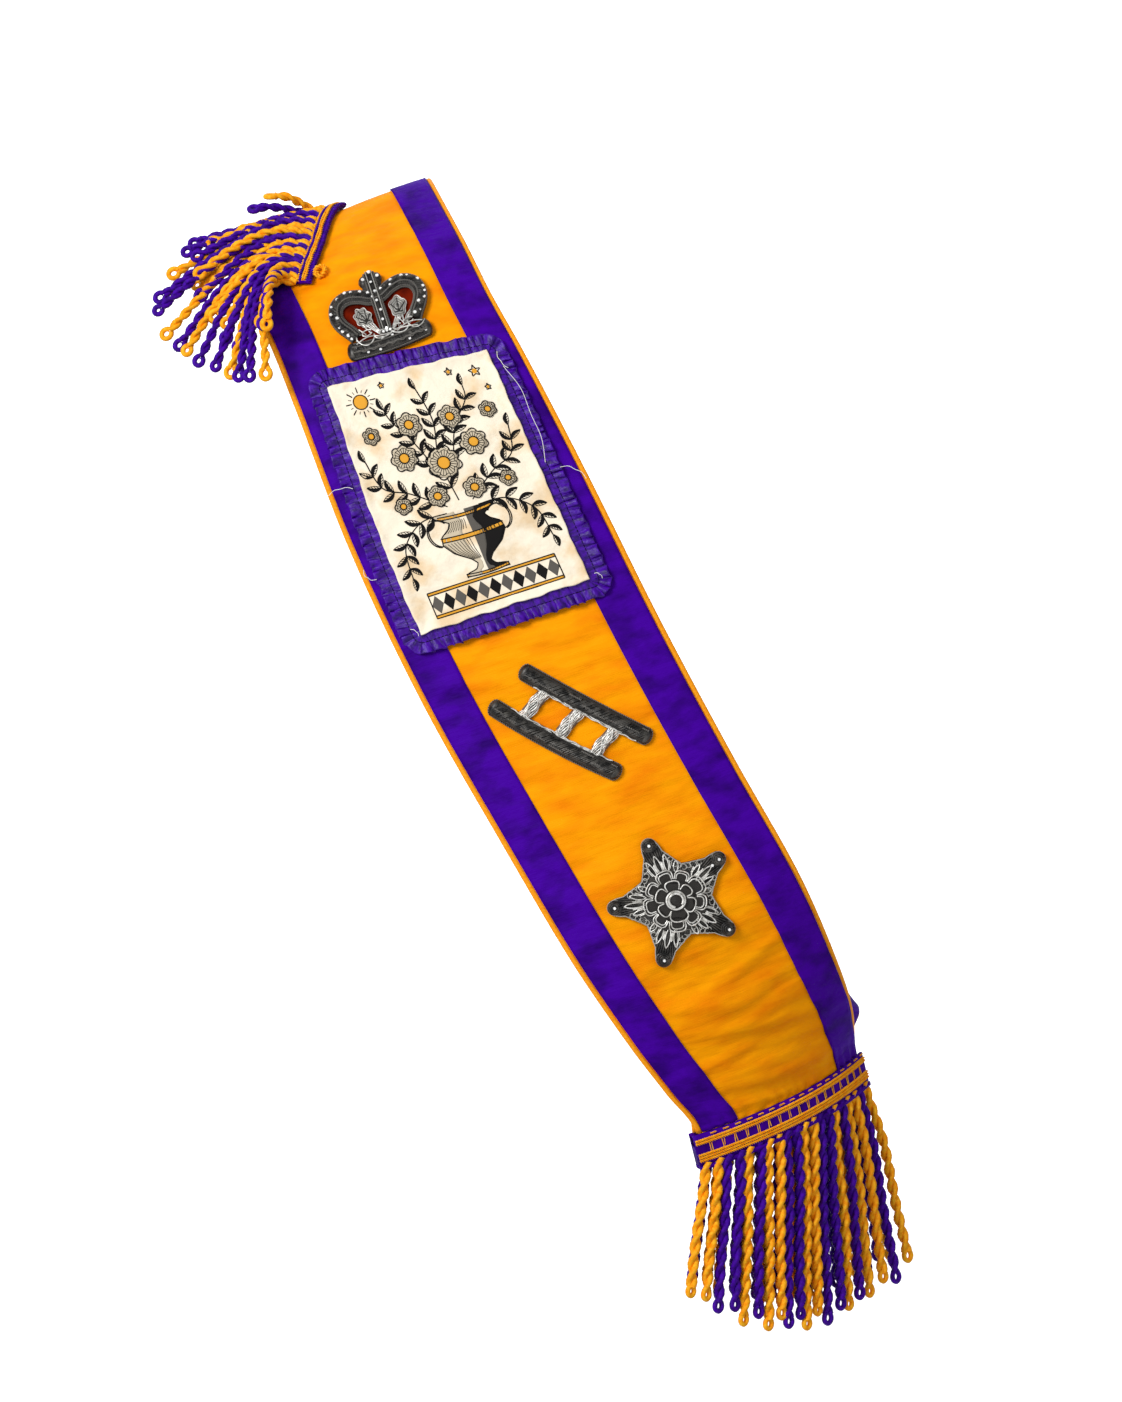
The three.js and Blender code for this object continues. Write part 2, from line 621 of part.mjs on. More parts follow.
const ruffleProfile = [
  { x: 0, y: 0, lift: 0 }, { x: 1, y: 0, lift: 0 }, { x: 1, y: 1, lift: 1 }, { x: 0.5, y: 1, lift: 0 },
  { x: 0, y: 1, lift: 0.6 }];
const ruffleStart = 2 * clearance;
addPiece('picture_ruffle', swept(ruffleProfile, ruffleStations.length, (i, corner) => {
  const station = ruffleStations[i];
  const wave = i % 2;
  const reach = ruffleStart + corner.x * ruffleWidth * (1 - 0.06 * wave);
  const along = station.along - Math.cos(station.angle) * reach;
  const across = station.across - Math.sin(station.angle) * reach;
  const height = coverBase + corner.y * ruffleThickness + corner.lift * wave * pleatHeight;
  return onBand(along, across / bandWidth, height);
}, true), 'purple');

// Ladder badge: two slightly bowed rails and three rungs between them
const ladderPlace = badgeFrame(ladderSeat);
const ladderHalf = ladderRailSpacing / 2;
const ladderBow = 0.02 * ladderRailLength;
const railSteps = 10;
const railMiddle = (sign, share) => sign * ladderHalf - ladderBow * (1 - share * share) * (sign < 0 ? 1 : 0.4);
for (const [name, sign] of [['upper', 1], ['lower', -1]]) {
  const line = Array.from({ length: railSteps + 1 }, (_, i) => {
    const share = 2 * i / railSteps - 1;
    return {
      x: share * ladderRailLength / 2 + sign * ladderSlant / 2,
      y: railMiddle(sign, share),
    };
  });
  addPiece(`ladder_rail_${name}`,
    paddedRoll(line, ladderRailWidth / 2, ladderRailPadding, ladderPlace, badgeBase), 'bullion');
}
const rungSlope = ladderSlant / ladderRailSpacing;
const rungInset = ladderRailWidth / 2 + 2 * clearance + rungSlope * ladderRungWidth / 2;
for (const [index, place] of [-1, 0, 1].entries()) {
  const share = 2 * place * ladderRungPitch / ladderRailLength;
  const line = [0, 0.33, 0.67, 1].map((end) => {
    const y = THREE.MathUtils.lerp(railMiddle(-1, share) + rungInset, railMiddle(1, share) - rungInset, end);
    return { x: place * ladderRungPitch + rungSlope * y, y };
  });
  addPiece(`ladder_rung_${index + 1}`,
    paddedRoll(line, ladderRungWidth / 2, ladderRungPadding, ladderPlace, badgeBase), 'silver');
}

// Star badge: one half point of its outline, as degrees from the tip and shares of its radius
const starPlace = badgeFrame(starSeat);
const starHalfPoint = [
  { angle: 0, reach: 1 }, { angle: 6, reach: 0.97 }, { angle: 9, reach: 0.87 }, { angle: 11, reach: 0.78 },
  { angle: 17, reach: 0.7 }, { angle: 26, reach: 0.62 }, { angle: 36, reach: 0.57 }];
const starPoints = 5;
const pointAngle = 360 / starPoints;
const starOutline = [];
for (let point = 0; point < starPoints; point += 1) {
  const halves = [...starHalfPoint, ...starHalfPoint.slice(1, -1).reverse()
    .map(({ angle, reach }) => ({ angle: pointAngle - angle, reach }))];
  for (const { angle, reach } of halves) {
    const bearing = degrees(point * pointAngle + angle);
    starOutline.push({ x: Math.sin(bearing) * reach * starRadius, y: Math.cos(bearing) * reach * starRadius });
  }
}
const starTop = badgeBase + starPadding;
addPiece('star_plate', plate(starOutline, [0.55, 1], starPlace, badgeBase,
  (ring) => starTop - (ring > 0.9 ? 0.45 * starPadding : 0)), 'bullion');
const outerBase = starTop + clearance;
const innerBase = outerBase + rosetteThickness + clearance;
const beadBase = innerBase + rosetteThickness + clearance;
addPiece('star_rosette_outer', plate(lobedOutline(rosetteRadius, rosetteRadius, 8, 0.18, 24), [0.5, 1],
  starPlace, outerBase, () => outerBase + rosetteThickness), 'silver');
addPiece('star_rosette_inner', plate(lobedOutline(innerRosetteRadius, innerRosetteRadius, 8, 0.16, 24), [1],
  starPlace, innerBase, () => innerBase + rosetteThickness), 'silver');
addPiece('star_centre_bead', plate(lobedOutline(beadRadius, beadRadius, 1, 0, 10), [0.6, 1], starPlace,
  beadBase, (ring) => beadBase + beadHeight * Math.sqrt(1 - 0.85 * ring * ring)), 'bullion');

// Hip heading: a sleeve whose slot takes both silks
const headingWidth = headingSection.width;
const slotOut = silkTop + clearance;
const slotIn = -silkStep - silkTop - clearance;
const headingProfile = [
  { x: slotOut + headingWall, y: 0 }, { x: slotOut + headingWall, y: headingHeight },
  { x: slotIn - headingWall, y: headingHeight }, { x: slotIn - headingWall, y: 0 },
  { x: slotIn, y: 0 }, { x: slotIn, y: slotDepth + clearance },
  { x: slotOut, y: slotDepth + clearance }, { x: slotOut, y: 0 }];
const headingEdge = 0.5 + headingMargin / headingWidth;
const headingColumns = [-headingEdge, ...silkColumns, headingEdge];

function onHeading(across, out, down) {
  const slice = 0.01;
  const line = onBand(frontLength, across + slice).sub(onBand(frontLength, across - slice));
  const outward = new THREE.Vector3().crossVectors(headingDown, line).normalize();
  return onBand(frontLength, across).addScaledVector(outward, out).addScaledVector(headingDown, down);
}

addPiece('hip_heading', swept(headingProfile, headingColumns.length, (i, corner) => (
  onHeading(headingColumns[i], corner.x, corner.y))), 'purple');

// Hip fringe: locks fused to a head strip below the heading.
// hang and lean are shares of fringeLength and fringeFlare.
const hipFringeHang = [
  { across: -0.5, hang: 0.6, lean: -0.9 }, { across: -0.4, hang: 0.72, lean: -0.6 },
  { across: -0.2, hang: 0.88, lean: -0.1 }, { across: 0.05, hang: 0.97, lean: 0.2 },
  { across: 0.25, hang: 1, lean: 0.8 }, { across: 0.42, hang: 0.96, lean: 1.9 },
  { across: 0.5, hang: 0.9, lean: 2.6 }];

function readTable(table, key, at, value) {
  const after = Math.max(1, table.findIndex((row) => row[key] >= at));
  const from = table[after - 1];
  const to = table[after];
  return THREE.MathUtils.mapLinear(at, from[key], to[key], from[value], to[value]);
}

const headMiddle = (slotOut + slotIn) / 2;
const fringeTop = headingHeight + clearance;
const half = fringeHeadThickness / 2;
const hipFringes = [
  { name: 'front', pitch: lockPitch, headOut: headMiddle + half + clearance,
    spread: lockRadius / 2 + clearance, shortfall: 0 },
  { name: 'back', pitch: backLockPitch, headOut: headMiddle - half, spread: -1, shortfall: backFringeShortfall }];
for (const { name, pitch, headOut, spread, shortfall } of hipFringes) {
  const headProfile = [
    { x: -half, y: 0 }, { x: half, y: 0 }, { x: half, y: fringeHeadHeight }, { x: -half, y: fringeHeadHeight }];
  const solids = [swept(headProfile, headingColumns.length, (i, corner) => (
    onHeading(headingColumns[i], headOut + corner.x, fringeTop + corner.y)))];
  const lockCount = Math.round(headingWidth / pitch);
  for (let k = 0; k <= lockCount; k += 1) {
    const across = THREE.MathUtils.lerp(-0.48, 0.48, k / lockCount);
    const top = onHeading(across, headOut, fringeTop + fringeHeadHeight / 2);
    const hang = readTable(hipFringeHang, 'across', across, 'hang') * fringeLength - shortfall;
    const lean = readTable(hipFringeHang, 'across', across, 'lean') * fringeFlare;
    const sway = headingLine.clone().setZ(0).normalize().multiplyScalar(lean);
    const foot = top.clone().add(sway).addScaledVector(up, -hang * (k % 2 ? 0.965 : 1));
    foot.addScaledVector(headingOut, spread);
    const knee = top.clone().lerp(foot, 0.3).addScaledVector(sway, 0.12).addScaledVector(headingOut, spread / 2);
    const curve = new THREE.QuadraticBezierCurve3(top, knee, foot);
    solids.push(lock(curve, 0.75 * lockRadius, lockRadius));
  }
  addPiece(`hip_fringe_${name}`, fused(solids), 'cord');
}

// Shoulder heading: a braid laid slantwise over the arm side of the shoulder
const shoulderPath = [
  { along: -0.008, across: 0.062 }, { along: 0.032, across: -0.06 }, { along: 0.0625, across: -0.136 },
  { along: 0.083, across: -0.192 }, { along: 0.106, across: -0.25 }];
const shoulderLine = smoothLine(shoulderPath.map(({ along, across }) => (
  { x: across * bandWidth, y: along * frontLength })), 14);

function besideShoulderLine(i, aside, height) {
  const a = shoulderLine[Math.max(i - 1, 0)];
  const b = shoulderLine[Math.min(i + 1, shoulderLine.length - 1)];
  const normal = new THREE.Vector2(-(b.y - a.y), b.x - a.x).normalize();
  const { x, y } = shoulderLine[i];
  return onBand(y + normal.y * aside, (x + normal.x * aside) / bandWidth, height);
}

addPiece('shoulder_heading', swept(braidProfile, shoulderLine.length, (i, corner) => (
  besideShoulderLine(i, corner.x * shoulderHeadingWidth / 2, coverBase + corner.y * shoulderHeadingThickness)
)), 'purple');

// Shoulder fringe: where its locks end, as shares of its reach, its drop and chestDepth
const shoulderFringeEnds = [
  { start: 0, reach: 0.42, drop: -0.06, forward: 0.06 },
  { start: 0.18, reach: 0.8, drop: 0.2, forward: 0.22 },
  { start: 0.36, reach: 0.96, drop: 0.48, forward: 0.42 },
  { start: 0.55, reach: 0.94, drop: 0.72, forward: 0.62 },
  { start: 0.75, reach: 0.77, drop: 0.885, forward: 0.82 },
  { start: 0.9, reach: 0.54, drop: 0.97, forward: 0.98 },
  { start: 1, reach: 0.33, drop: 0.98, forward: 1.06 }];

// Places of the band near the shoulder, to keep the locks off it
const shoulderSpan = 0.3 * frontLength;
const bandSamples = [];
for (let along = -shoulderSpan / 2; along < shoulderSpan; along += 6) {
  for (let across = -0.5; across <= 0.3; across += 0.04) {
    const point = onBand(along, across);
    bandSamples.push({ point, out: onBand(along, across, 1).sub(point) });
  }
}

function clearOfBand(point, gap) {
  let nearest = bandSamples[0];
  for (const sample of bandSamples) {
    if (sample.point.distanceToSquared(point) < nearest.point.distanceToSquared(point)) nearest = sample;
  }
  const height = point.clone().sub(nearest.point).dot(nearest.out);
  const aside = Math.sqrt(Math.max(0, nearest.point.distanceToSquared(point) - height * height));
  if (aside < 3 * lockRadius && height < gap) point.addScaledVector(nearest.out, gap - height);
  return point;
}

const headAside = shoulderHeadingWidth / 2 + clearance + shoulderFringeHeadWidth / 2;
const shoulderSolids = [swept(braidProfile, shoulderLine.length, (i, corner) => (
  besideShoulderLine(i, headAside + corner.x * shoulderFringeHeadWidth / 2,
    coverBase + corner.y * shoulderHeadingThickness)))];
const shoulderRun = shoulderLine.reduce((sum, p, i) => sum + (i ? p.distanceTo(shoulderLine[i - 1]) : 0), 0);
const shoulderLocks = Math.round(shoulderRun / shoulderLockPitch);
for (let k = 0; k <= shoulderLocks; k += 1) {
  const share = k / shoulderLocks;
  const i = Math.round(THREE.MathUtils.lerp(1, shoulderLine.length - 2, share));
  const start = besideShoulderLine(i, headAside, coverBase + 0.5 * shoulderHeadingThickness);
  const beyond = besideShoulderLine(i, headAside + 2 * shoulderHeadingWidth, coverBase + 4 * lockRadius);
  const ends = (value) => readTable(shoulderFringeEnds, 'start', share, value);
  const shorter = k % 2 ? 0.93 : 1;
  const end = new THREE.Vector3(-ends('reach') * shoulderFringeReach * shorter,
    -ends('forward') * chestDepth, -ends('drop') * shoulderFringeDrop * shorter);
  const fall = start.distanceTo(end);
  const control = start.clone().addScaledVector(beyond.sub(start).normalize(), 0.4 * fall);
  const above = end.clone().addScaledVector(up, 0.3 * fall);
  const bend = new THREE.CubicBezierCurve3(start, control, above, end);
  const points = bend.getPoints(lockSteps).map((point, step) => (
    step ? clearOfBand(point, coverBase + 1.6 * lockRadius) : point));
  shoulderSolids.push(lock(new THREE.CatmullRomCurve3(points), 0.42 * shoulderHeadingThickness, lockRadius));
}
addPiece('shoulder_fringe', fused(shoulderSolids), 'cord');

// Shoulder knot: a small loop of cord beside the foot of the braid
const knotPath = Math.round(0.82 * (shoulderLine.length - 1));
const knotAside = -(shoulderHeadingWidth / 2 + clearance + knotRadius + knotThickness / 2);
const knotCentre = besideShoulderLine(knotPath, knotAside, badgeBase + knotThickness / 2);
const knotOut = besideShoulderLine(knotPath, knotAside, badgeBase + knotThickness).sub(knotCentre).normalize();
const knotSection = Array.from({ length: 7 }, (_, k) => {
  const angle = 2 * Math.PI * (k % 6) / 6;
  return new THREE.Vector2(knotRadius + Math.cos(angle) * knotThickness / 2, Math.sin(angle) * knotThickness / 2);
});
const knot = new THREE.LatheGeometry(knotSection, 12);
knot.deleteAttribute('normal');
knot.deleteAttribute('uv');
knot.applyQuaternion(new THREE.Quaternion().setFromUnitVectors(new THREE.Vector3(0, 1, 0), knotOut));
knot.translate(knotCentre.x, knotCentre.y, knotCentre.z);
addPiece('shoulder_knot', mergeVertices(knot, 1e-4), 'cord');

export default sash;
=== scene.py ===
import math
import random

import bmesh
import bpy
import numpy as np
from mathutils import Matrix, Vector


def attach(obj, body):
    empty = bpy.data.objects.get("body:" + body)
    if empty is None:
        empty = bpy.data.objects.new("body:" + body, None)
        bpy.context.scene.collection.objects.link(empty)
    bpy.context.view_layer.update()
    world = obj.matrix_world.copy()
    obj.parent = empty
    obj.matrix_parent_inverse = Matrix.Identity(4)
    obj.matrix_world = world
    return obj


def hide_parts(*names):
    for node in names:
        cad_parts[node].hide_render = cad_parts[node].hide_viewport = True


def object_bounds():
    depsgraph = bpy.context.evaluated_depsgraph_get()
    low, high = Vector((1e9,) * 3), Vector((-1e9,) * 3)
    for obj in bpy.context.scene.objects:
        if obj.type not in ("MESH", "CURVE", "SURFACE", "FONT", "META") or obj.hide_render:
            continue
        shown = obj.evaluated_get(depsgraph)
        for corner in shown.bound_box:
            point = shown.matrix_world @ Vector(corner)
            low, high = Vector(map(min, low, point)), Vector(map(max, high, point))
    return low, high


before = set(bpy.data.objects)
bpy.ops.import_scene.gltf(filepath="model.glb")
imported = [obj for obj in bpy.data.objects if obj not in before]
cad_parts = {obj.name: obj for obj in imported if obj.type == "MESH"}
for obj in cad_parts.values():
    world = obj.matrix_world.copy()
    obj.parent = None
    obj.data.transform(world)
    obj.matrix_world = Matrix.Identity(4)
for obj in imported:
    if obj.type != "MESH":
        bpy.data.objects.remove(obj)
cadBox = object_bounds()
mm = 0.001


# The loop of the sash, in millimetres until a mesh is made
loop = {
    "hipAcross": 284, "hipDrop": 557, "chestDepth": 110, "backDepth": 100, "bandWidth": 154,
    "silkThickness": 1.6, "ribbonWidth": 26, "ribbonThickness": 1.0, "bindingWidth": 3.4,
    "bindingThickness": 2.4, "clearance": 0.3, "layerGap": 0.6, "slotDepth": 7,
}
bandWidth = loop["bandWidth"]

# across, drop, depth, width, bow, tilt and turn of each section: the first three are shares of hipAcross,
# hipDrop and the loop's depth, width and bow are shares of bandWidth, tilt and turn are degrees
frontSections = [
    (0, 0, 0, 0.92, 0.03, 25, 13),
    (0.033, 0.035, 0.32, 0.92, 0.03, 22, 10),
    (0.072, 0.075, 0.55, 0.92, 0.03, 18.5, 6.5),
    (0.116, 0.121, 0.72, 0.92, 0.03, 15.3, 3.3),
    (0.181, 0.191, 0.87, 0.95, 0.03, 14.9, 0),
    (0.31, 0.338, 0.97, 1.01, 0.04, 17.3, -3.8),
    (0.478, 0.514, 1, 1.02, 0.04, 18.3, -3),
    (0.644, 0.667, 1, 1, 0.04, 19.7, 0),
    (0.795, 0.8, 0.95, 0.99, 0.05, 20.3, 5.6),
    (0.895, 0.89, 0.8, 0.95, 0.06, 20.6, 16),
    (0.958, 0.949, 0.61, 0.94, 0.08, 19.2, 28),
    (1, 1, 0.44, 0.92, 0.09, 17.9, 38.6),
]
backSections = [
    (0.033, 0.035, 0.34, 0.92, 0.03, 22.5, 12),
    (0.072, 0.075, 0.58, 0.92, 0.03, 19.5, 9),
    (0.116, 0.121, 0.75, 0.93, 0.03, 16.8, 6),
    (0.181, 0.191, 0.89, 0.95, 0.03, 15.6, 3),
    (0.31, 0.338, 0.98, 0.97, 0.04, 17.3, 2),
    (0.478, 0.514, 1, 0.97, 0.04, 18.5, -1),
    (0.61, 0.63, 0.97, 0.97, 0.04, 21, -4),
    (0.768, 0.733, 0.83, 0.93, 0.06, 50, -23),
    (1.01, 0.811, 0.43, 0.87, 0.06, 62, -100),
    (1.053, 0.855, -0.17, 0.8, 0.07, 28, -130),
]

# along, across, reach, spread and height of each fold, the height in shares of the silk's thickness
frontFolds = [
    (0.13, -0.1, 0.035, 0.3, 0.5),
    (0.575, -0.05, 0.03, 0.22, -0.5),
    (0.76, 0.1, 0.025, 0.2, -0.7),
    (0.81, -0.1, 0.022, 0.22, 0.8),
    (0.85, 0.12, 0.02, 0.24, -1),
    (0.885, -0.08, 0.02, 0.26, 1.1),
    (0.92, 0.1, 0.018, 0.24, -1.1),
    (0.952, -0.12, 0.016, 0.22, 0.9),
]


def directionOf(tilt, turn):
    tilt, turn = np.radians(tilt), np.radians(turn)
    return np.stack([np.cos(tilt) * np.cos(turn), np.cos(tilt) * np.sin(turn), np.sin(tilt)], -1)


def unit(vectors):
    return vectors / np.linalg.norm(vectors, axis=-1, keepdims=True)


def sectionOf(row, depthSize):
    across, drop, depth, width, bow, tilt, turn = row
    return np.array([across * loop["hipAcross"], depth * depthSize, -drop * loop["hipDrop"],
                     width * bandWidth, bow * bandWidth, tilt, turn], float)


headingSection = sectionOf(frontSections[-1], -loop["chestDepth"])
headingLine = directionOf(headingSection[5], headingSection[6])
headingOut = unit(np.cross(headingLine, [0, 0, 1]))
headingDown = unit(np.cross(headingLine, headingOut))
headingDown *= -np.sign(headingDown[2])
silkStep = loop["silkThickness"] + loop["ribbonThickness"] + 2 * loop["layerGap"]


def movedSection(section, shift):
    moved = section.copy()
    moved[:3] += shift
    return moved


backHeading = movedSection(headingSection, -silkStep * headingOut)
backHeading[5] *= -1
backHeading[6] -= 180
intoSlot = headingDown * loop["slotDepth"]
loopSections = np.array(
    [movedSection(backHeading, intoSlot), backHeading]
    + [sectionOf(row, loop["backDepth"]) for row in reversed(backSections)]
    + [sectionOf(row, -loop["chestDepth"]) for row in frontSections]
    + [movedSection(headingSection, intoSlot)])
steps = np.linalg.norm(np.diff(loopSections[:, :3], axis=0), axis=1)
stations = np.concatenate([[0], np.cumsum(steps)])
stations -= stations[len(backSections) + 2]
frontLength = stations[-2]
backLength = -stations[1]

spans = np.diff(stations)
rises = np.diff(loopSections, axis=0) / spans[:, None]
slopes = np.zeros_like(loopSections)
slopes[1:-1] = rises[:-1] * spans[1:, None] + rises[1:] * spans[:-1, None]
slopes[1:-1] /= (spans[:-1] + spans[1:])[:, None]
slopes[0], slopes[-1] = rises[0], rises[-1]


def sectionAt(along):
    row = np.clip(np.searchsorted(stations, along) - 1, 0, len(stations) - 2)
    step = spans[row]
    t = ((along - stations[row]) / step)[:, None]
    step = step[:, None]
    return (loopSections[row] * (1 + 2 * t) * (1 - t) ** 2 + slopes[row] * t * (1 - t) ** 2 * step
            + loopSections[row + 1] * t * t * (3 - 2 * t) + slopes[row + 1] * t * t * (t - 1) * step)


def foldHeight(along, across):
    share = along / frontLength
    height = np.zeros_like(share)
    for foldAlong, foldAcross, reach, spread, lift in frontFolds:
        near = ((share - foldAlong) / reach) ** 2 + ((across - foldAcross) / spread) ** 2
        height += lift * loop["silkThickness"] * np.exp(-near)
    return np.where(along > 0, height, 0)


def silkMiddle(along, across):
    section = sectionAt(along)
    run = sectionAt(along + 0.5)[:, :3] - sectionAt(along - 0.5)[:, :3]
    line = directionOf(section[:, 5], section[:, 6])
    out = unit(np.cross(run, line))
    width, bow = section[:, 3], section[:, 4]
    lift = bow * (1 - 4 * across * across) + foldHeight(along, across)
    return section[:, :3] + line * (width * across)[:, None] + out * lift[:, None]


seat = silkMiddle(np.array([0.0]), np.array([0.0]))[0] - [0, 0, loop["silkThickness"] / 2]


# A place on the band: millimetres from the shoulder seam, share of the width, height over the silk's middle
def onBand(along, across, height=0.0):
    along, across, height = (np.asarray(a, float) for a in np.broadcast_arrays(along, across, height))
    shape = along.shape
    along, across, height = along.ravel(), across.ravel(), height.ravel()
    beside = 0.5 / bandWidth
    run = silkMiddle(along + 0.5, across) - silkMiddle(along - 0.5, across)
    line = silkMiddle(along, across + beside) - silkMiddle(along, across - beside)
    out = unit(np.cross(run, line))
    return (silkMiddle(along, across) + out * height[:, None] - seat).reshape(*shape, 3)


def placeOnFront(x, z, along, across):
    along, across = np.full(x.shape, along, float), np.full(x.shape, across, float)
    for _ in range(6):
        here = onBand(along, across)
        downBand = onBand(along + 1, across) - here
        acrossBand = onBand(along, across + 0.01) - here
        det = downBand[:, 0] * acrossBand[:, 2] - acrossBand[:, 0] * downBand[:, 2]
        missX, missZ = x - here[:, 0], z - here[:, 2]
        along = along + (missX * acrossBand[:, 2] - acrossBand[:, 0] * missZ) / det
        across = across + 0.01 * (downBand[:, 0] * missZ - missX * downBand[:, 2]) / det
    return along, across


# A badge's own frame: local x to the neck side and y up, turned as seen from the front
def badgeFrame(alongShare, acrossShare, turn):
    guess = alongShare * frontLength
    centre = onBand(guess, acrossShare)
    cos, sin = math.cos(math.radians(turn)), math.sin(math.radians(turn))

    def place(x, y, height):
        x, y, height = (np.asarray(a, float) for a in np.broadcast_arrays(x, y, height))
        shape = x.shape
        x, y, height = x.ravel(), y.ravel(), height.ravel()
        along, across = placeOnFront(
            centre[0] + x * cos - y * sin, centre[2] + x * sin + y * cos, guess, acrossShare)
        return onBand(along, across, height).reshape(*shape, 3)
    return place


silkTop = loop["silkThickness"] / 2
ribbonBase = silkTop + loop["clearance"]
ribbonTop = ribbonBase + loop["ribbonThickness"]
badgeBase = silkTop + loop["layerGap"]
coverBase = ribbonTop + loop["layerGap"]
silkEdge = 0.5 - (loop["bindingWidth"] + loop["layerGap"]) / bandWidth
ribbonInner = silkEdge - loop["ribbonWidth"] / bandWidth

# Soft creases that the plain solid leaves out: along and across as shares, slant in mm per mm, reach in mm,
# spread as a share of the width, height in mm
frontCreases = [
    (0.03, -0.05, 0.5, 4, 0.2, 0.5),
    (0.06, -0.2, 0.3, 3, 0.16, 0.3),
    (0.09, 0.24, -0.3, 5, 0.12, 0.6),
    (0.5, 0.1, -0.2, 5, 0.3, 0.5),
    (0.52, -0.3, 0.2, 4, 0.14, 0.8),
    (0.545, -0.12, -0.1, 4, 0.2, -0.35),
    (0.655, 0.05, 0.1, 5, 0.3, 0.6),
    (0.672, -0.28, 0.3, 5, 0.16, 0.9),
    (0.685, 0.25, -0.2, 5, 0.2, -0.7),
    (0.74, -0.36, 0.2, 5, 0.1, 0.9),
    (0.79, 0.36, -0.3, 6, 0.1, 0.9),
    (0.825, -0.3, -0.35, 4.5, 0.16, 1.2),
    (0.846, 0.16, -0.3, 5, 0.28, 1.8),
    (0.868, -0.2, 0.25, 5, 0.26, 2.0),
    (0.886, 0.12, -0.2, 4.2, 0.3, -1.4),
    (0.908, 0.02, 0.2, 5, 0.36, 2.3),
    (0.93, -0.24, -0.15, 4.2, 0.22, 1.9),
    (0.944, 0.14, 0.15, 4.2, 0.3, -1.5),
    (0.965, 0.04, 0.1, 4.2, 0.34, 2.1),
    (0.984, -0.2, 0.1, 3.2, 0.2, 1.4),
]


def creaseHeight(along, across):
    height = np.zeros(np.broadcast(along, across).shape)
    for creaseAlong, creaseAcross, slant, reach, spread, lift in frontCreases:
        side = (across - creaseAcross) * bandWidth
        down = along - creaseAlong * frontLength - slant * side
        height += lift * np.exp(-(down / reach) ** 2 - ((across - creaseAcross) / spread) ** 2)
    # small gathers where the silk goes into the heading
    near = np.exp(-((frontLength - along) / 16) ** 2)
    height += 0.8 * near * np.sin(across * 92 + 2.1 * np.sin(across * 17)) * (along < frontLength)
    return height


# Materials
def newMaterial(name, colour, roughness, metallic=0.0, sheen=0.0, specular=0.4):
    material = bpy.data.materials.new(name)
    material.use_nodes = True
    shader = material.node_tree.nodes["Principled BSDF"]
    shader.inputs["Base Color"].default_value = (*colour, 1)
    shader.inputs["Roughness"].default_value = roughness
    shader.inputs["Metallic"].default_value = metallic
    shader.inputs["Sheen Weight"].default_value = sheen
    shader.inputs["Sheen Roughness"].default_value = 0.4
    shader.inputs["Specular IOR Level"].default_value = specular
    material.diffuse_color = (*colour, 1)
    return material


def addNode(material, kind, **inputs):
    node = material.node_tree.nodes.new(kind)
    for label, value in inputs.items():
        node.inputs[label.replace("_", " ")].default_value = value
    return node


def link(material, fromNode, fromSocket, toNode, toSocket):
    material.node_tree.links.new(fromNode.outputs[fromSocket], toNode.inputs[toSocket])


def stretchedNoise(material, scaling, scale, detail=3.0, source="UV"):
    coordinates = material.node_tree.nodes.new("ShaderNodeTexCoord")
    mapping = addNode(material, "ShaderNodeMapping", Scale=scaling)
    noise = addNode(material, "ShaderNodeTexNoise", Scale=scale, Detail=detail)
    link(material, coordinates, source, mapping, "Vector")
    link(material, mapping, "Vector", noise, "Vector")
    return noise


def mixColours(material, noise, low, high, stops=(0.35, 0.65)):
    ramp = material.node_tree.nodes.new("ShaderNodeValToRGB")
    ramp.color_ramp.elements[0].position = stops[0]
    ramp.color_ramp.elements[0].color = (*low, 1)
    ramp.color_ramp.elements[1].position = stops[1]
    ramp.color_ramp.elements[1].color = (*high, 1)
    link(material, noise, "Fac", ramp, "Fac")
    shader = material.node_tree.nodes["Principled BSDF"]
    link(material, ramp, "Color", shader, "Base Color")
    return ramp


# A further bump lies on the ones already there
def addBump(material, noise, distance, strength=1.0):
    bump = addNode(material, "ShaderNodeBump", Strength=strength, Distance=distance)
    link(material, noise, "Fac", bump, "Height")
    normal = material.node_tree.nodes["Principled BSDF"].inputs["Normal"]
    if normal.is_linked:
        material.node_tree.links.new(normal.links[0].from_socket, bump.inputs["Normal"])
    material.node_tree.links.new(bump.outputs["Normal"], normal)
    return bump


# UV maps of the cloth are in centimetres: u across and v along
finishColours = {
    "orange": ((0.88, 0.225, 0.0), (1.0, 0.355, 0.0)),
    "purple": ((0.024, 0.0, 0.14), (0.056, 0.0, 0.32)),
    "ruffle": ((0.02, 0.0, 0.12), (0.062, 0.0, 0.34)),
    "piping": ((0.88, 0.26, 0.0), (1.0, 0.4, 0.01)),
    "cord": ((0.95, 0.3, 0.0), (1.0, 0.5, 0.02)),
    "purpleCord": ((0.028, 0.0, 0.17), (0.066, 0.0, 0.38)),
    "linen": ((0.8, 0.6, 0.37), (0.93, 0.83, 0.66)),
    "bullion": ((0.007, 0.0065, 0.006), (0.075, 0.07, 0.062)),
    "silver": ((0.36, 0.35, 0.32), (0.85, 0.84, 0.8)),
    "velvet": ((0.07, 0.004, 0.001), (0.19, 0.012, 0.002)),
}
even = (1, 1, 1)


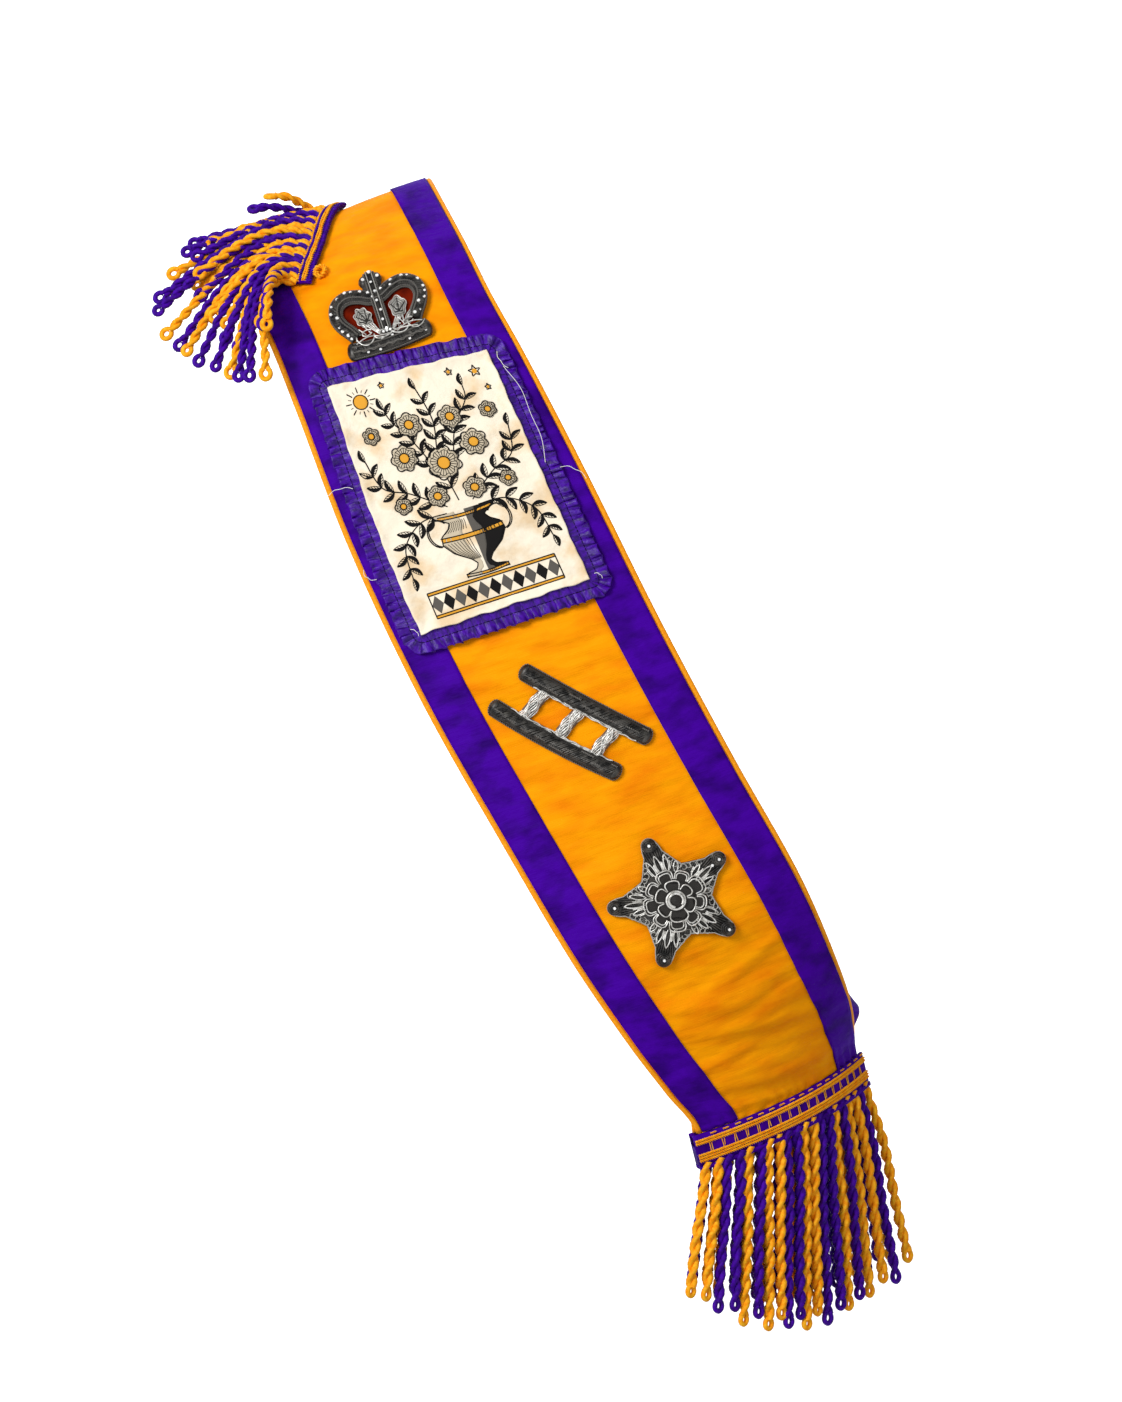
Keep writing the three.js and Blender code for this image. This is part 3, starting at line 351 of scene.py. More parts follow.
# A finish mottled between two colours. mottle is scaling, scale and detail of its noise, and each bump
# is the same for another noise, then its distance and its strength
def mottled(name, colours, roughness, mottle, stops=(0.35, 0.65), bumps=(), source="UV", base=None, **more):
    low, high = finishColours[colours]
    material = newMaterial(name, base or high, roughness, **more)
    mixColours(material, stretchedNoise(material, *mottle, source), low, high, stops)
    for scaling, scale, detail, distance, strength in bumps:
        addBump(material, stretchedNoise(material, scaling, scale, detail, source), distance, strength)
    return material


silkMaterial = mottled(
    "orangeSilk", "orange", 0.6, ((0.5, 1.1, 1), 0.55, 4), (0.3, 0.6),
    (((0.5, 12, 1), 1.6, 3, 0.0006, 0.5), ((0.5, 1.5, 1), 0.42, 2, 0.006, 0.6)), specular=0.04)
purpleMaterial = mottled(
    "purpleRibbon", "purple", 0.6, ((0.6, 0.9, 1), 0.8, 4), (0.3, 0.58),
    (((0.5, 12, 1), 1.6, 3, 0.0005, 0.45), ((0.6, 1.2, 1), 0.9, 3, 0.003, 0.5)), specular=0.04)
pipingMaterial = mottled(
    "orangePiping", "piping", 0.55, ((2, 6, 1), 1.5, 3), bumps=(((2, 8, 1), 1.6, 2, 0.0005, 0.6),),
    specular=0.15)
cordBumps = ((even, 2600, 2, 0.0003, 0.6),)
cordMaterial = mottled(
    "orangeCord", "cord", 0.55, (even, 420, 3), bumps=cordBumps, source="Object", specular=0.1)
purpleCordMaterial = mottled(
    "purpleCord", "purpleCord", 0.55, (even, 420, 3), bumps=cordBumps, source="Object", specular=0.1)
ruffleMaterial = mottled(
    "purpleRuffle", "ruffle", 0.4, ((1.6, 3.2, 1), 1.2, 4), (0.38, 0.6), (((3, 6, 1), 1.1, 4, 0.0012, 0.6),),
    base=finishColours["purple"][1], specular=0.25)
linenMaterial = mottled(
    "creamLinen", "linen", 0.85, (even, 0.42, 6), (0.36, 0.52),
    (((14, 14, 1), 1.4, 2, 0.0003, 0.4), (even, 0.7, 3, 0.005, 0.5)), specular=0.1)
bullionMaterial = mottled(
    "greyBullion", "bullion", 0.4, (even, 240, 5), (0.42, 0.66), source="Object",
    base=(0.05, 0.047, 0.042), metallic=0.3)
silverMaterial = mottled(
    "silverThread", "silver", 0.35, (even, 350, 4), source="Object", base=(0.7, 0.69, 0.65), metallic=0.4)
velvetMaterial = mottled(
    "redVelvet", "velvet", 0.95, (even, 90, 3), source="Object", base=(0.17, 0.008, 0.002), sheen=0.08,
    specular=0.02)
darkPurpleMaterial = newMaterial("darkPurpleThread", (0.008, 0.0, 0.04), 0.7, specular=0.1)
inkMaterial = newMaterial("printInk", (0.012, 0.011, 0.011), 0.9, specular=0.05)
washMaterial = newMaterial("printWash", (0.11, 0.1, 0.088), 0.9, specular=0.05)
paleWashMaterial = newMaterial("printPaleWash", (0.6, 0.51, 0.37), 0.9, specular=0.05)
ochreMaterial = newMaterial("printOchre", (0.76, 0.36, 0.04), 0.9, specular=0.05)
darkCordMaterial = newMaterial("darkCord", (0.016, 0.014, 0.012), 0.6, specular=0.3)
greyLeafMaterial = newMaterial("greyLeaf", (0.13, 0.122, 0.11), 0.5, metallic=0.3)
greyEdgeMaterial = newMaterial("greyEdge", (0.36, 0.35, 0.32), 0.45, metallic=0.3)
spangleMaterial = newMaterial("brightSpangle", (0.92, 0.92, 0.9), 0.3, metallic=0.2)
whiteThreadMaterial = newMaterial("whiteThread", (0.85, 0.82, 0.75), 0.7, specular=0.15)
print("materials made")


# Mesh helpers
def volumeOf(points, faces):
    a, b = points[faces[:, 0]], points[faces[:, 1]]
    c, d = points[faces[:, 2]], points[faces[:, 3]]
    return np.einsum("ij,ij->", a, np.cross(b, c)) + np.einsum("ij,ij->", a, np.cross(c, d))


def meshPiece(name, points, quads, material, uvs=None, slotName=None):
    points, quads = np.asarray(points, float) * mm, np.asarray(quads)
    if volumeOf(points, quads) < 0:
        quads = quads[:, ::-1]
    mesh = bpy.data.meshes.new(name)
    mesh.from_pydata(points.tolist(), [], quads.tolist())
    mesh.polygons.foreach_set("use_smooth", [True] * len(quads))
    if uvs is not None:
        layer = mesh.uv_layers.new(name="UVMap")
        corners = np.empty(len(mesh.loops), int)
        mesh.loops.foreach_get("vertex_index", corners)
        layer.data.foreach_set("uv", np.asarray(uvs, float)[corners].ravel())
    mesh.materials.append(material)
    piece = bpy.data.objects.new(name, mesh)
    bpy.context.scene.collection.objects.link(piece)
    return piece


def gridQuads(rows, columns, wrap=False):
    i, j = np.meshgrid(np.arange(rows if wrap else rows - 1), np.arange(columns - 1), indexing="ij")
    i, j = i.ravel(), j.ravel()
    after = (i + 1) % rows
    return np.stack([i * columns + j, i * columns + j + 1, after * columns + j + 1, after * columns + j], 1)


# A closed sheet between two grids of points. wrap joins its last row to its first
def closedSheet(name, under, over, uvGrid, material, slotName, wrap=False):
    rows, columns = over.shape[:2]
    count = rows * columns
    points = np.concatenate([under.reshape(-1, 3), over.reshape(-1, 3)])
    lower = gridQuads(rows, columns, wrap)
    quads = [lower, lower[:, ::-1] + count]
    i = np.arange(rows if wrap else rows - 1)
    after = (i + 1) % rows
    near, nextNear = i * columns, after * columns
    far, nextFar = near + columns - 1, nextNear + columns - 1
    quads.append(np.stack([near, nextNear, nextNear + count, near + count], 1))
    quads.append(np.stack([far, far + count, nextFar + count, nextFar], 1))
    if not wrap:
        j = np.arange(columns - 1)
        last = (rows - 1) * columns
        quads.append(np.stack([j, j + count, j + 1 + count, j + 1], 1))
        quads.append(np.stack([last + j, last + j + 1, last + j + 1 + count, last + j + count], 1))
    uvs = np.concatenate([uvGrid.reshape(-1, 2)] * 2)
    return meshPiece(name, points, np.concatenate(quads), material, uvs, slotName)


# A closed profile carried along stations, with fans over both ends
def sweptTube(name, rings, material, uvs=None):
    count, corners = rings.shape[:2]
    points = np.concatenate([rings.reshape(-1, 3), rings[[0, -1]].mean(axis=1)])
    i, k = np.meshgrid(np.arange(count - 1), np.arange(corners), indexing="ij")
    i, k = i.ravel(), k.ravel()
    after = (k + 1) % corners
    near, far = i * corners, (i + 1) * corners
    quads = np.stack([near + k, far + k, far + after, near + after], 1)
    mesh = bpy.data.meshes.new(name)
    base = (count - 1) * corners
    caps = []
    for k in range(corners):
        after = (k + 1) % corners
        caps.append((count * corners, k, after))
        caps.append((count * corners + 1, base + after, base + k))
    mesh.from_pydata((points * mm).tolist(), [], quads.tolist() + caps)
    mesh.update()
    work = bmesh.new()
    work.from_mesh(mesh)
    bmesh.ops.recalc_face_normals(work, faces=work.faces)
    for face in work.faces:
        face.smooth = True
    work.to_mesh(mesh)
    work.free()
    layer = mesh.uv_layers.new(name="UVMap")
    if uvs is not None:
        allUvs = np.concatenate([uvs.reshape(-1, 2), uvs[0, :1], uvs[-1, :1]])
        index = np.empty(len(mesh.loops), int)
        mesh.loops.foreach_get("vertex_index", index)
        layer.data.foreach_set("uv", allUvs[index].ravel())
    mesh.materials.append(material)
    piece = bpy.data.objects.new(name, mesh)
    bpy.context.scene.collection.objects.link(piece)
    return piece


# A Geometry Nodes tree: its inputs, what build makes of them, then real geometry in the given finish
def nodeTree(name, laidOn, sizes, build):
    tree = bpy.data.node_groups.new(name, "GeometryNodeTree")
    sockets = {}
    for label, kind in {laidOn: "Geometry", **sizes, "Finish": "Material"}.items():
        sockets[label] = tree.interface.new_socket(label, in_out="INPUT", socket_type=f"NodeSocket{kind}")
    tree.interface.new_socket("Made", in_out="OUTPUT", socket_type="NodeSocketGeometry")

    # adds a node whose inputs, by label or by number, are joined to sockets or set to values
    def add(kind, inputs=None, **settings):
        node = tree.nodes.new(kind)
        for setting, value in settings.items():
            setattr(node, setting, value)
        for label, value in (inputs or {}).items():
            if isinstance(value, bpy.types.NodeSocket):
                tree.links.new(value, node.inputs[label])
            else:
                node.inputs[label].default_value = value
        return node.outputs[0] if len(node.outputs) else node

    given = tree.nodes.new("NodeGroupInput").outputs
    real = add("GeometryNodeRealizeInstances", {"Geometry": build(tree, add, given)})
    painted = add("GeometryNodeSetMaterial", {"Geometry": real, "Material": given["Finish"]})
    add("NodeGroupOutput", {"Made": painted})
    return tree, {label: socket.identifier for label, socket in sockets.items()}


# Twisted plies along every line of a curve
def threadTree(plies):
    def build(tree, add, given):
        curve = add(
            "GeometryNodeResampleCurve", {"Curve": given["Lines"], "Length": given["Step"]}, mode="LENGTH")
        section = add("GeometryNodeCurvePrimitiveCircle", {
            "Resolution": given["Sides"], "Radius": given["Ply Radius"]})
        if plies > 1:
            place = tree.nodes.new("GeometryNodeSplineParameter").outputs["Length"]
            turns = add("ShaderNodeMath", {0: place, 1: given["Twist Pitch"]}, operation="DIVIDE")
            angle = add("ShaderNodeMath", {0: turns, 1: 2 * math.pi}, operation="MULTIPLY")
            curve = add("GeometryNodeSetCurveTilt", {"Curve": curve, "Tilt": angle})
            together = tree.nodes.new("GeometryNodeJoinGeometry")
            spread = 0.78 / math.sin(math.pi / plies)
            for ply in range(plies):
                bearing = 2 * math.pi * ply / plies
                away = (spread * math.cos(bearing), spread * math.sin(bearing), 0)
                aside = add(
                    "ShaderNodeVectorMath", {0: away, "Scale": given["Ply Radius"]}, operation="SCALE")
                shift = add("GeometryNodeTransform", {"Geometry": section, "Translation": aside})
                tree.links.new(shift, together.inputs["Geometry"])
            section = together.outputs["Geometry"]
        solid = add("GeometryNodeCurveToMesh", {"Curve": curve, "Profile Curve": section, "Fill Caps": True})
        return add("GeometryNodeSetShadeSmooth", {0: solid})
    return nodeTree(f"laidThread{plies}", "Lines", {
        "Ply Radius": "Float", "Twist Pitch": "Float", "Step": "Float", "Sides": "Int"}, build)


# A short stitch at each pitch along every line
def setStitches(tree, add, given):
    spaced = tree.nodes.new("GeometryNodeCurveToPoints")
    spaced.mode = "LENGTH"
    tree.links.new(given["Lines"], spaced.inputs["Curve"])
    tree.links.new(given["Pitch"], spaced.inputs["Length"])
    stitch = add("GeometryNodeMeshCylinder", {
        "Vertices": 6, "Radius": given["Thread Radius"], "Depth": given["Stitch Length"]})
    return add("GeometryNodeInstanceOnPoints", {
        "Points": spaced.outputs["Points"], "Instance": stitch, "Rotation": spaced.outputs["Rotation"]})


# A round spangle on every point, facing as the point's attribute says
def layRounds(tree, add, given):
    disc = add("GeometryNodeMeshCylinder", {
        "Vertices": 10, "Radius": given["Radius"], "Depth": given["Thickness"]})
    facing = add("GeometryNodeInputNamedAttribute", {"Name": "facing"}, data_type="FLOAT_VECTOR")
    stray = add("FunctionNodeRandomValue", data_type="FLOAT_VECTOR", inputs={
        "Min": (-1, -1, -1), "Max": (1, 1, 1), "Seed": given["Seed"]})
    less = add("ShaderNodeVectorMath", {0: stray, "Scale": given["Unevenness"]}, operation="SCALE")
    leaning = add("ShaderNodeVectorMath", {0: facing, 1: less}, operation="ADD")
    turn = add("FunctionNodeAlignRotationToVector", {"Vector": leaning}, axis="Z")
    return add("GeometryNodeInstanceOnPoints", {
        "Points": given["Places"], "Instance": disc, "Rotation": turn})


threadTrees = {plies: threadTree(plies) for plies in (1, 2, 3)}
stitchNodes = nodeTree("setStitches", "Lines", {
    "Pitch": "Float", "Stitch Length": "Float", "Thread Radius": "Float"}, setStitches)
spangleNodes = nodeTree("sewnSpangles", "Places", {
    "Radius": "Float", "Thickness": "Float", "Unevenness": "Float", "Seed": "Int"}, layRounds)


def treeResult(name, holder, treeAndSockets, values):
    tree, identifiers = treeAndSockets
    modifier = holder.modifiers.new("made", "NODES")
    modifier.node_group = tree
    for label, value in values.items():
        modifier[identifiers[label]] = value
    bpy.context.view_layer.update()
    graph = bpy.context.evaluated_depsgraph_get()
    mesh = bpy.data.meshes.new_from_object(
        holder.evaluated_get(graph), preserve_all_data_layers=True, depsgraph=graph)
    bpy.data.objects.remove(holder)
    mesh.name = name
    piece = bpy.data.objects.new(name, mesh)
    bpy.context.scene.collection.objects.link(piece)
    return piece


def lineHolder(name, lines):
    curve = bpy.data.curves.new(name + "Lines", "CURVE")
    curve.dimensions = "3D"
    for line in lines:
        line = np.asarray(line, float) * mm
        spline = curve.splines.new("POLY")
        spline.points.add(len(line) - 1)
        spline.points.foreach_set("co", np.column_stack([line, np.ones(len(line))]).ravel())
    holder = bpy.data.objects.new(name + "Lines", curve)
    bpy.context.scene.collection.objects.link(holder)
    return holder


# Lines in millimetres become threads of so many plies, as a plain mesh
def laidThreads(name, lines, radius, material, plies=1, pitch=8.0, step=1.0, sides=6):
    return treeResult(name, lineHolder(name, lines), threadTrees[plies], {
        "Ply Radius": radius * mm, "Twist Pitch": pitch * mm, "Step": step * mm, "Sides": sides,
        "Finish": material})


def stitchedLines(name, lines, pitch, length, radius, material):
    return treeResult(name, lineHolder(name, lines), stitchNodes, {
        "Pitch": pitch * mm, "Stitch Length": length * mm, "Thread Radius": radius * mm, "Finish": material})


def sewnSpangles(name, places, facings, radius, seed, material=None, unevenness=0.3):
    mesh = bpy.data.meshes.new(name + "Places")
    mesh.from_pydata((np.asarray(places, float) * mm).tolist(), [], [])
    attribute = mesh.attributes.new("facing", "FLOAT_VECTOR", "POINT")
    attribute.data.foreach_set("vector", np.asarray(facings, float).ravel())
    holder = bpy.data.objects.new(name + "Places", mesh)
    bpy.context.scene.collection.objects.link(holder)
    return treeResult(name, holder, spangleNodes, {
        "Radius": radius * mm, "Thickness": 0.5 * mm, "Unevenness": unevenness, "Seed": seed,
        "Finish": material or spangleMaterial})


# Pieces joined into one, each keeping its material
def joined(name, pieces):
    pieces = [piece for piece in pieces if len(piece.data.vertices)]
    with bpy.context.temp_override(active_object=pieces[0], object=pieces[0],
                                   selected_objects=pieces, selected_editable_objects=pieces):
        bpy.ops.object.join()
    pieces[0].name = name
    pieces[0].data.name = name
    return pieces[0]


def ridden(piece, *nodes):
    if nodes:
        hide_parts(*nodes)
    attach(piece, "root")
    return piece


# Camera, light and floor
view = {
    "centre": (0.1488, -0.3116), "frontPlane": -0.11, "distance": 2.7, "frameHeight": 0.869,
    "floorDrop": 0.045, "floorFront": -4.5, "backWall": 3.3, "wallBend": 1.1, "wallHeight": 5.0,
}
cameraData = bpy.data.cameras.new("camera")
cameraData.sensor_width = 36
cameraData.lens = 36 * view["distance"] / view["frameHeight"]
camera = bpy.data.objects.new("camera", cameraData)
camera.location = (view["centre"][0], view["frontPlane"] - view["distance"], view["centre"][1])
camera.rotation_euler = (math.pi / 2, 0, 0)
bpy.context.scene.collection.objects.link(camera)
bpy.context.scene.camera = camera
bpy.context.scene.view_settings.view_transform = "Standard"

sashCentre, wallCentre = (0.16, 0, -0.33), (0.15, 4.6, 0.2)
lamps = {
    "keyLight": {"place": (-1.6, -2.4, 0.8), "size": 1.1, "power": 77, "aim": sashCentre},
    "fillLight": {"place": (1.9, -2.2, 0.1), "size": 2.2, "power": 7, "aim": sashCentre},
    "rimLight": {"place": (0.3, 1.1, 1.5), "size": 1.6, "power": 12, "aim": sashCentre},
    "wallLight": {"place": (0.15, 1.9, 2.3), "size": 1.8, "power": 110, "aim": wallCentre},
}
for name, lamp in lamps.items():
    light = bpy.data.lights.new(name, "AREA")
    light.size = lamp["size"]
    light.energy = lamp["power"]
    holder = bpy.data.objects.new(name, light)
    holder.location = lamp["place"]
    holder.rotation_euler = (Vector(lamp["aim"]) - holder.location).to_track_quat("-Z", "Y").to_euler()
    bpy.context.scene.collection.objects.link(holder)
world = bpy.data.worlds.new("studio")
world.use_nodes = True
world.node_tree.nodes["Background"].inputs["Color"].default_value = (0.93, 0.94, 0.96, 1)
world.node_tree.nodes["Background"].inputs["Strength"].default_value = 0.48
bpy.context.scene.world = world

floorHeight = cadBox[0][2] - view["floorDrop"]
bend = view["wallBend"]
profile = [(view["floorFront"], floorHeight)]
for k in range(13):
    angle = math.pi / 2 * k / 12
    profile.append((view["backWall"] + bend * math.sin(angle), floorHeight + bend * (1 - math.cos(angle))))
profile.append((view["backWall"] + bend, floorHeight + view["wallHeight"]))
floorMesh = bpy.data.meshes.new("floor")
floorPoints = [(x, y, z) for y, z in profile for x in (-5, 5)]
floorFaces = [(k, k + 1, k + 3, k + 2) for k in range(0, 2 * len(profile) - 2, 2)]
floorMesh.from_pydata(floorPoints, [], floorFaces)
floorMaterial = newMaterial("paleFloor", (0.97, 0.97, 0.965), 0.9, specular=0.05)
floorShader = floorMaterial.node_tree.nodes["Principled BSDF"]
floorShader.inputs["Emission Color"].default_value = (1, 1, 1, 1)
floorShader.inputs["Emission Strength"].default_value = 0.3
floorMesh.materials.append(floorMaterial)
floorMesh.polygons.foreach_set("use_smooth", [True] * len(floorMesh.polygons))
floor = bpy.data.objects.new("floor", floorMesh)
floor.visible_diffuse = False
bpy.context.scene.collection.objects.link(floor)
print("camera, lights and floor made")


# Silk, ribbons and piping
cloth = {"rowStep": 2.6, "silkColumns": 56, "ribbonColumns": 12, "pipingSides": 10}
lengths = {
    "front": {"side": 1, "length": frontLength},
    "back": {"side": -1, "length": backLength},
}
seamGap = loop["clearance"] / 2


def clothHeights(along, across, side):
    return creaseHeight(along, across) if side > 0 else np.zeros(np.broadcast(along, across).shape)


for name, part in lengths.items():
    side, length = part["side"], part["length"]
    rowCount = round(length / cloth["rowStep"])
    rows = np.linspace(seamGap, length - 2 * loop["clearance"], rowCount)
    silkRows = np.concatenate([rows, [length, length + loop["slotDepth"] / 2, length + loop["slotDepth"]]])
    for label, alongs, low, high, count, base, top, material, slotName in (
            ("silk", silkRows, -silkEdge, silkEdge, cloth["silkColumns"], -silkTop, silkTop,
             silkMaterial, "orange_silk"),
            ("ribbon_arm", rows, -silkEdge, -ribbonInner, cloth["ribbonColumns"], ribbonBase, ribbonTop,
             purpleMaterial, "purple_ribbon"),
            ("ribbon_neck", rows, ribbonInner, silkEdge, cloth["ribbonColumns"], ribbonBase, ribbonTop,
             purpleMaterial, "purple_ribbon")):
        along, across = np.meshgrid(side * alongs, np.linspace(low, high, count), indexing="ij")
        lift = clothHeights(along, across, side)
        uvs = np.stack([across * bandWidth / 10, along / 10], -1)
        piece = closedSheet(f"{name}_{label}_cloth", onBand(along, across, base + lift),
                            onBand(along, across, top + lift), uvs, material, slotName)
        ridden(piece, f"{name}_{label}")
        part[label] = piece
    for edge, sign in (("arm", -1), ("neck", 1)):
        angles = np.linspace(0, 2 * math.pi, cloth["pipingSides"], endpoint=False)
        pipingHalf = (loop["bindingWidth"] + loop["layerGap"]) / 2
        centre = 0.5 - pipingHalf / bandWidth
        offset = np.cos(angles) * pipingHalf / bandWidth
        height = np.sin(angles) * loop["bindingThickness"] / 2
        along, offset = np.meshgrid(side * rows, offset, indexing="ij")
        height = np.broadcast_to(height, along.shape)
        rings = onBand(along, sign * (centre + offset), height)
        turnUv = np.broadcast_to(np.abs(np.linspace(-1, 1, cloth["pipingSides"])), along.shape)
        piece = sweptTube(f"{name}_binding_{edge}_piping", rings, pipingMaterial,
                          np.stack([turnUv, along / 10 + 0.35 * turnUv], -1))
        ridden(piece, f"{name}_binding_{edge}")
print("silk, ribbons and piping made")


# Hip heading
heading = {"height": 20, "wall": 1.6, "margin": 3, "columns": 70}
slotOut = silkTop + loop["clearance"]
slotIn = -silkStep - silkTop - loop["clearance"]
headingEdge = 0.5 + heading["margin"] / headingSection[3]


def onHeading(across, out, down):
    across, out, down = (np.asarray(a, float) for a in np.broadcast_arrays(across, out, down))
    length = np.full(across.shape, frontLength)
    line = onBand(length, across + 0.01) - onBand(length, across - 0.01)
    outward = unit(np.cross(headingDown, line))
    return onBand(length, across) + outward * out[..., None] + headingDown * down[..., None]


headingOuter, headingInner = slotOut + heading["wall"], slotIn - heading["wall"]
headingProfile = np.array([
    (headingOuter, 0), (headingOuter, 5), (headingOuter, 10), (headingOuter, 15),
    (headingOuter, heading["height"]), (headingInner, heading["height"]),
    (headingInner, 10), (headingInner, 0),
    (slotIn, 0), (slotIn, loop["slotDepth"] + loop["clearance"]),
    (slotOut, loop["slotDepth"] + loop["clearance"]), (slotOut, 0)])
columns = np.linspace(-headingEdge, headingEdge, heading["columns"])
columnGrid, outGrid = np.meshgrid(columns, headingProfile[:, 0], indexing="ij")
downGrid = np.broadcast_to(headingProfile[:, 1], columnGrid.shape)
braid = sweptTube("hipHeadingBraid", onHeading(columnGrid, outGrid, downGrid), purpleMaterial,
                  np.stack([downGrid / 10, columnGrid * headingSection[3] / 10], -1))

# Rows of cord across the heading, and the ticks between them: down is millimetres from its top edge
headingRows = {
    "edges": {"downs": (1.2,), "radius": 0.36},
    "pairs": {"downs": (3.9, 5.7, 13.2, 15.0, 16.8), "radius": 0.62},
    "ticks": {"from": 6.4, "to": 12.8, "pitch": 8.4, "radius": 0.28},
}
fine = np.linspace(-headingEdge + 0.003, headingEdge - 0.003, 160)
edgeRows = [onHeading(fine[::-1][start:start + 5], headingOuter + 0.4, down)
            for down in headingRows["edges"]["downs"] for start in range(0, 152, 9)]
edgeCords = laidThreads("headingEdges", edgeRows, headingRows["edges"]["radius"], cordMaterial,
                        plies=2, pitch=3.0, step=0.6, sides=5)
rowLines = [onHeading(fine, headingOuter + 0.45, down) for down in headingRows["pairs"]["downs"]]
rowCords = laidThreads("headingRows", rowLines, headingRows["pairs"]["radius"], cordMaterial,
                       plies=2, pitch=3.0, step=0.5, sides=5)
ticks = headingRows["ticks"]
tickCount = round(headingSection[3] / ticks["pitch"])
tickLines = []
for tick, across in enumerate(np.linspace(-0.46, 0.46, tickCount)):
    lean = 0.002 * math.sin(tick * 2.3)
    tickLines.append(onHeading(across + np.linspace(-lean, lean, 6), headingOuter + 0.35,
                               np.linspace(ticks["from"], ticks["to"], 6)))
    tickLines.append(onHeading(across + 0.009 + np.linspace(lean, -lean, 6), headingOuter + 0.3,
                               np.linspace(ticks["from"] + 0.5, ticks["to"] - 1.5 * (tick % 2), 6)))
tickCords = laidThreads("headingTicks", tickLines, ticks["radius"], cordMaterial, step=0.9, sides=6)
hipHeading = joined("hip_heading_braid", [braid, edgeCords, rowCords, tickCords])
ridden(hipHeading, "hip_heading")
print("hip heading made")


# Fringe cords
fringe = {"length": 133, "flare": 15, "headHeight": 5, "headThickness": 5.4, "plyRadius": 2.15,
          "twistPitch": 22, "step": 1.5, "loopRadius": 3.3, "loopThread": 1.7, "backShortfall": 12}
# across, hang and lean: where a cord starts, and its shares of the fringe's length and flare
hipFringeHang = [
    (-0.5, 0.6, -0.9), (-0.4, 0.72, -0.6), (-0.2, 0.88, -0.1), (0.05, 0.97, 0.2),
    (0.25, 1, 0.8), (0.42, 0.96, 1.9), (0.5, 0.9, 2.6)]
hangAcross, hangLength, hangLean = (np.array(column) for column in zip(*hipFringeHang))
draw = random.Random(7)


def bentLine(start, control, end, count=30):
    t = np.linspace(0, 1, count)[:, None]
    return start * (1 - t) ** 2 + control * 2 * t * (1 - t) + end * t * t


def swayed(line, amount, turns):
    t = np.linspace(0, 1, len(line))
    side = unit(np.cross(line[-1] - line[0], headingOut))
    phase = draw.uniform(0, 2 * math.pi)
    wobble = amount * np.sin(turns * 2 * math.pi * t + phase) * np.sin(math.pi * t) ** 0.7
    return line + side * wobble[:, None]


# The small loop in which a cord ends
def endLoop(line, sideways, radius):
    ahead = unit(line[-1] - line[-4])
    aside = unit(sideways - ahead * np.dot(sideways, ahead))
    angle = np.radians(np.linspace(-165, 165, 16))[:, None]
    centre = line[-1] + ahead * radius * 0.85
    return centre + radius * (np.cos(angle) * ahead + 0.85 * np.sin(angle) * aside)


def fringePiece(name, lines, colours, sideways, thinner=1.0):
    parts = []
    for letter, material in (("y", cordMaterial), ("p", purpleCordMaterial)):
        chosen = [line for line, colour in zip(lines, colours) if colour == letter]
        loops = [endLoop(line, sideways, fringe["loopRadius"] * draw.uniform(0.85, 1.1)) for line in chosen]
        parts.append(laidThreads(
            name + letter, chosen, fringe["plyRadius"] * thinner, material, plies=2,
            pitch=fringe["twistPitch"] * thinner, step=fringe["step"] * thinner, sides=7))
        parts.append(laidThreads(name + letter + "Loops", loops, fringe["loopThread"], material,
                                 step=1.0, sides=7))
    return joined(name, parts)


headMiddle = (slotOut + slotIn) / 2
fringeTop = heading["height"] + loop["clearance"]
hipLayers = {
    "front": {"colours": "yyppypyyppyyppypyypy", "out": fringe["headThickness"] / 2 + 0.3, "spread": 1.75,
              "shortfall": 0, "shorter": 0.965},
    "back": {"colours": "pyypypypyypyppyyppy", "out": -fringe["headThickness"] / 2, "spread": -1,
             "shortfall": fringe["backShortfall"], "shorter": 0.95},
}
levelLine = unit(headingLine * [1, 1, 0])
for layer, part in hipLayers.items():
    lines = []
    count = len(part["colours"])
    for k in range(count):
        share = (k + (0.5 if layer == "back" else 0)) / 19
        across = -0.485 + 0.97 * share
        top = onHeading(across + (0.004 if k % 2 else -0.004), headMiddle + part["out"], fringeTop - 1.5)
        hang = np.interp(across, hangAcross, hangLength) * fringe["length"] - part["shortfall"]
        sway = levelLine * np.interp(across, hangAcross, hangLean) * fringe["flare"]
        foot = top + sway - [0, 0, (hang - 4) * (part["shorter"] if k % 2 else 1) * draw.uniform(0.97, 1.01)]
        foot = foot + headingOut * part["spread"] + levelLine * draw.uniform(-1.6, 1.6)
        knee = top * 0.7 + foot * 0.3 + sway * 0.12 + headingOut * part["spread"] / 2
        line = bentLine(top, knee, foot, 36)
        lines.append(swayed(line, draw.uniform(0.5, 1.3), draw.uniform(0.7, 1.3)))
    piece = fringePiece(f"hip_fringe_{layer}_cords", lines, part["colours"], levelLine)
    head = headMiddle + part["out"]
    grid, profileIndex = np.meshgrid(columns, np.arange(4), indexing="ij")
    half = fringe["headThickness"] / 2
    outs = np.array([-half, half, half, -half])[profileIndex] * 0.92 + head
    downs = np.array([0, 0, fringe["headHeight"] * 0.5, fringe["headHeight"] * 0.5])[profileIndex] + fringeTop
    tape = sweptTube(f"{layer}HeadTape", onHeading(grid, outs, downs), purpleMaterial,
                     np.stack([downs / 10, grid * 14], -1))
    piece = joined(f"hip_fringe_{layer}_cords", [piece, tape])
    ridden(piece, f"hip_fringe_{layer}")
print("hip fringe made")


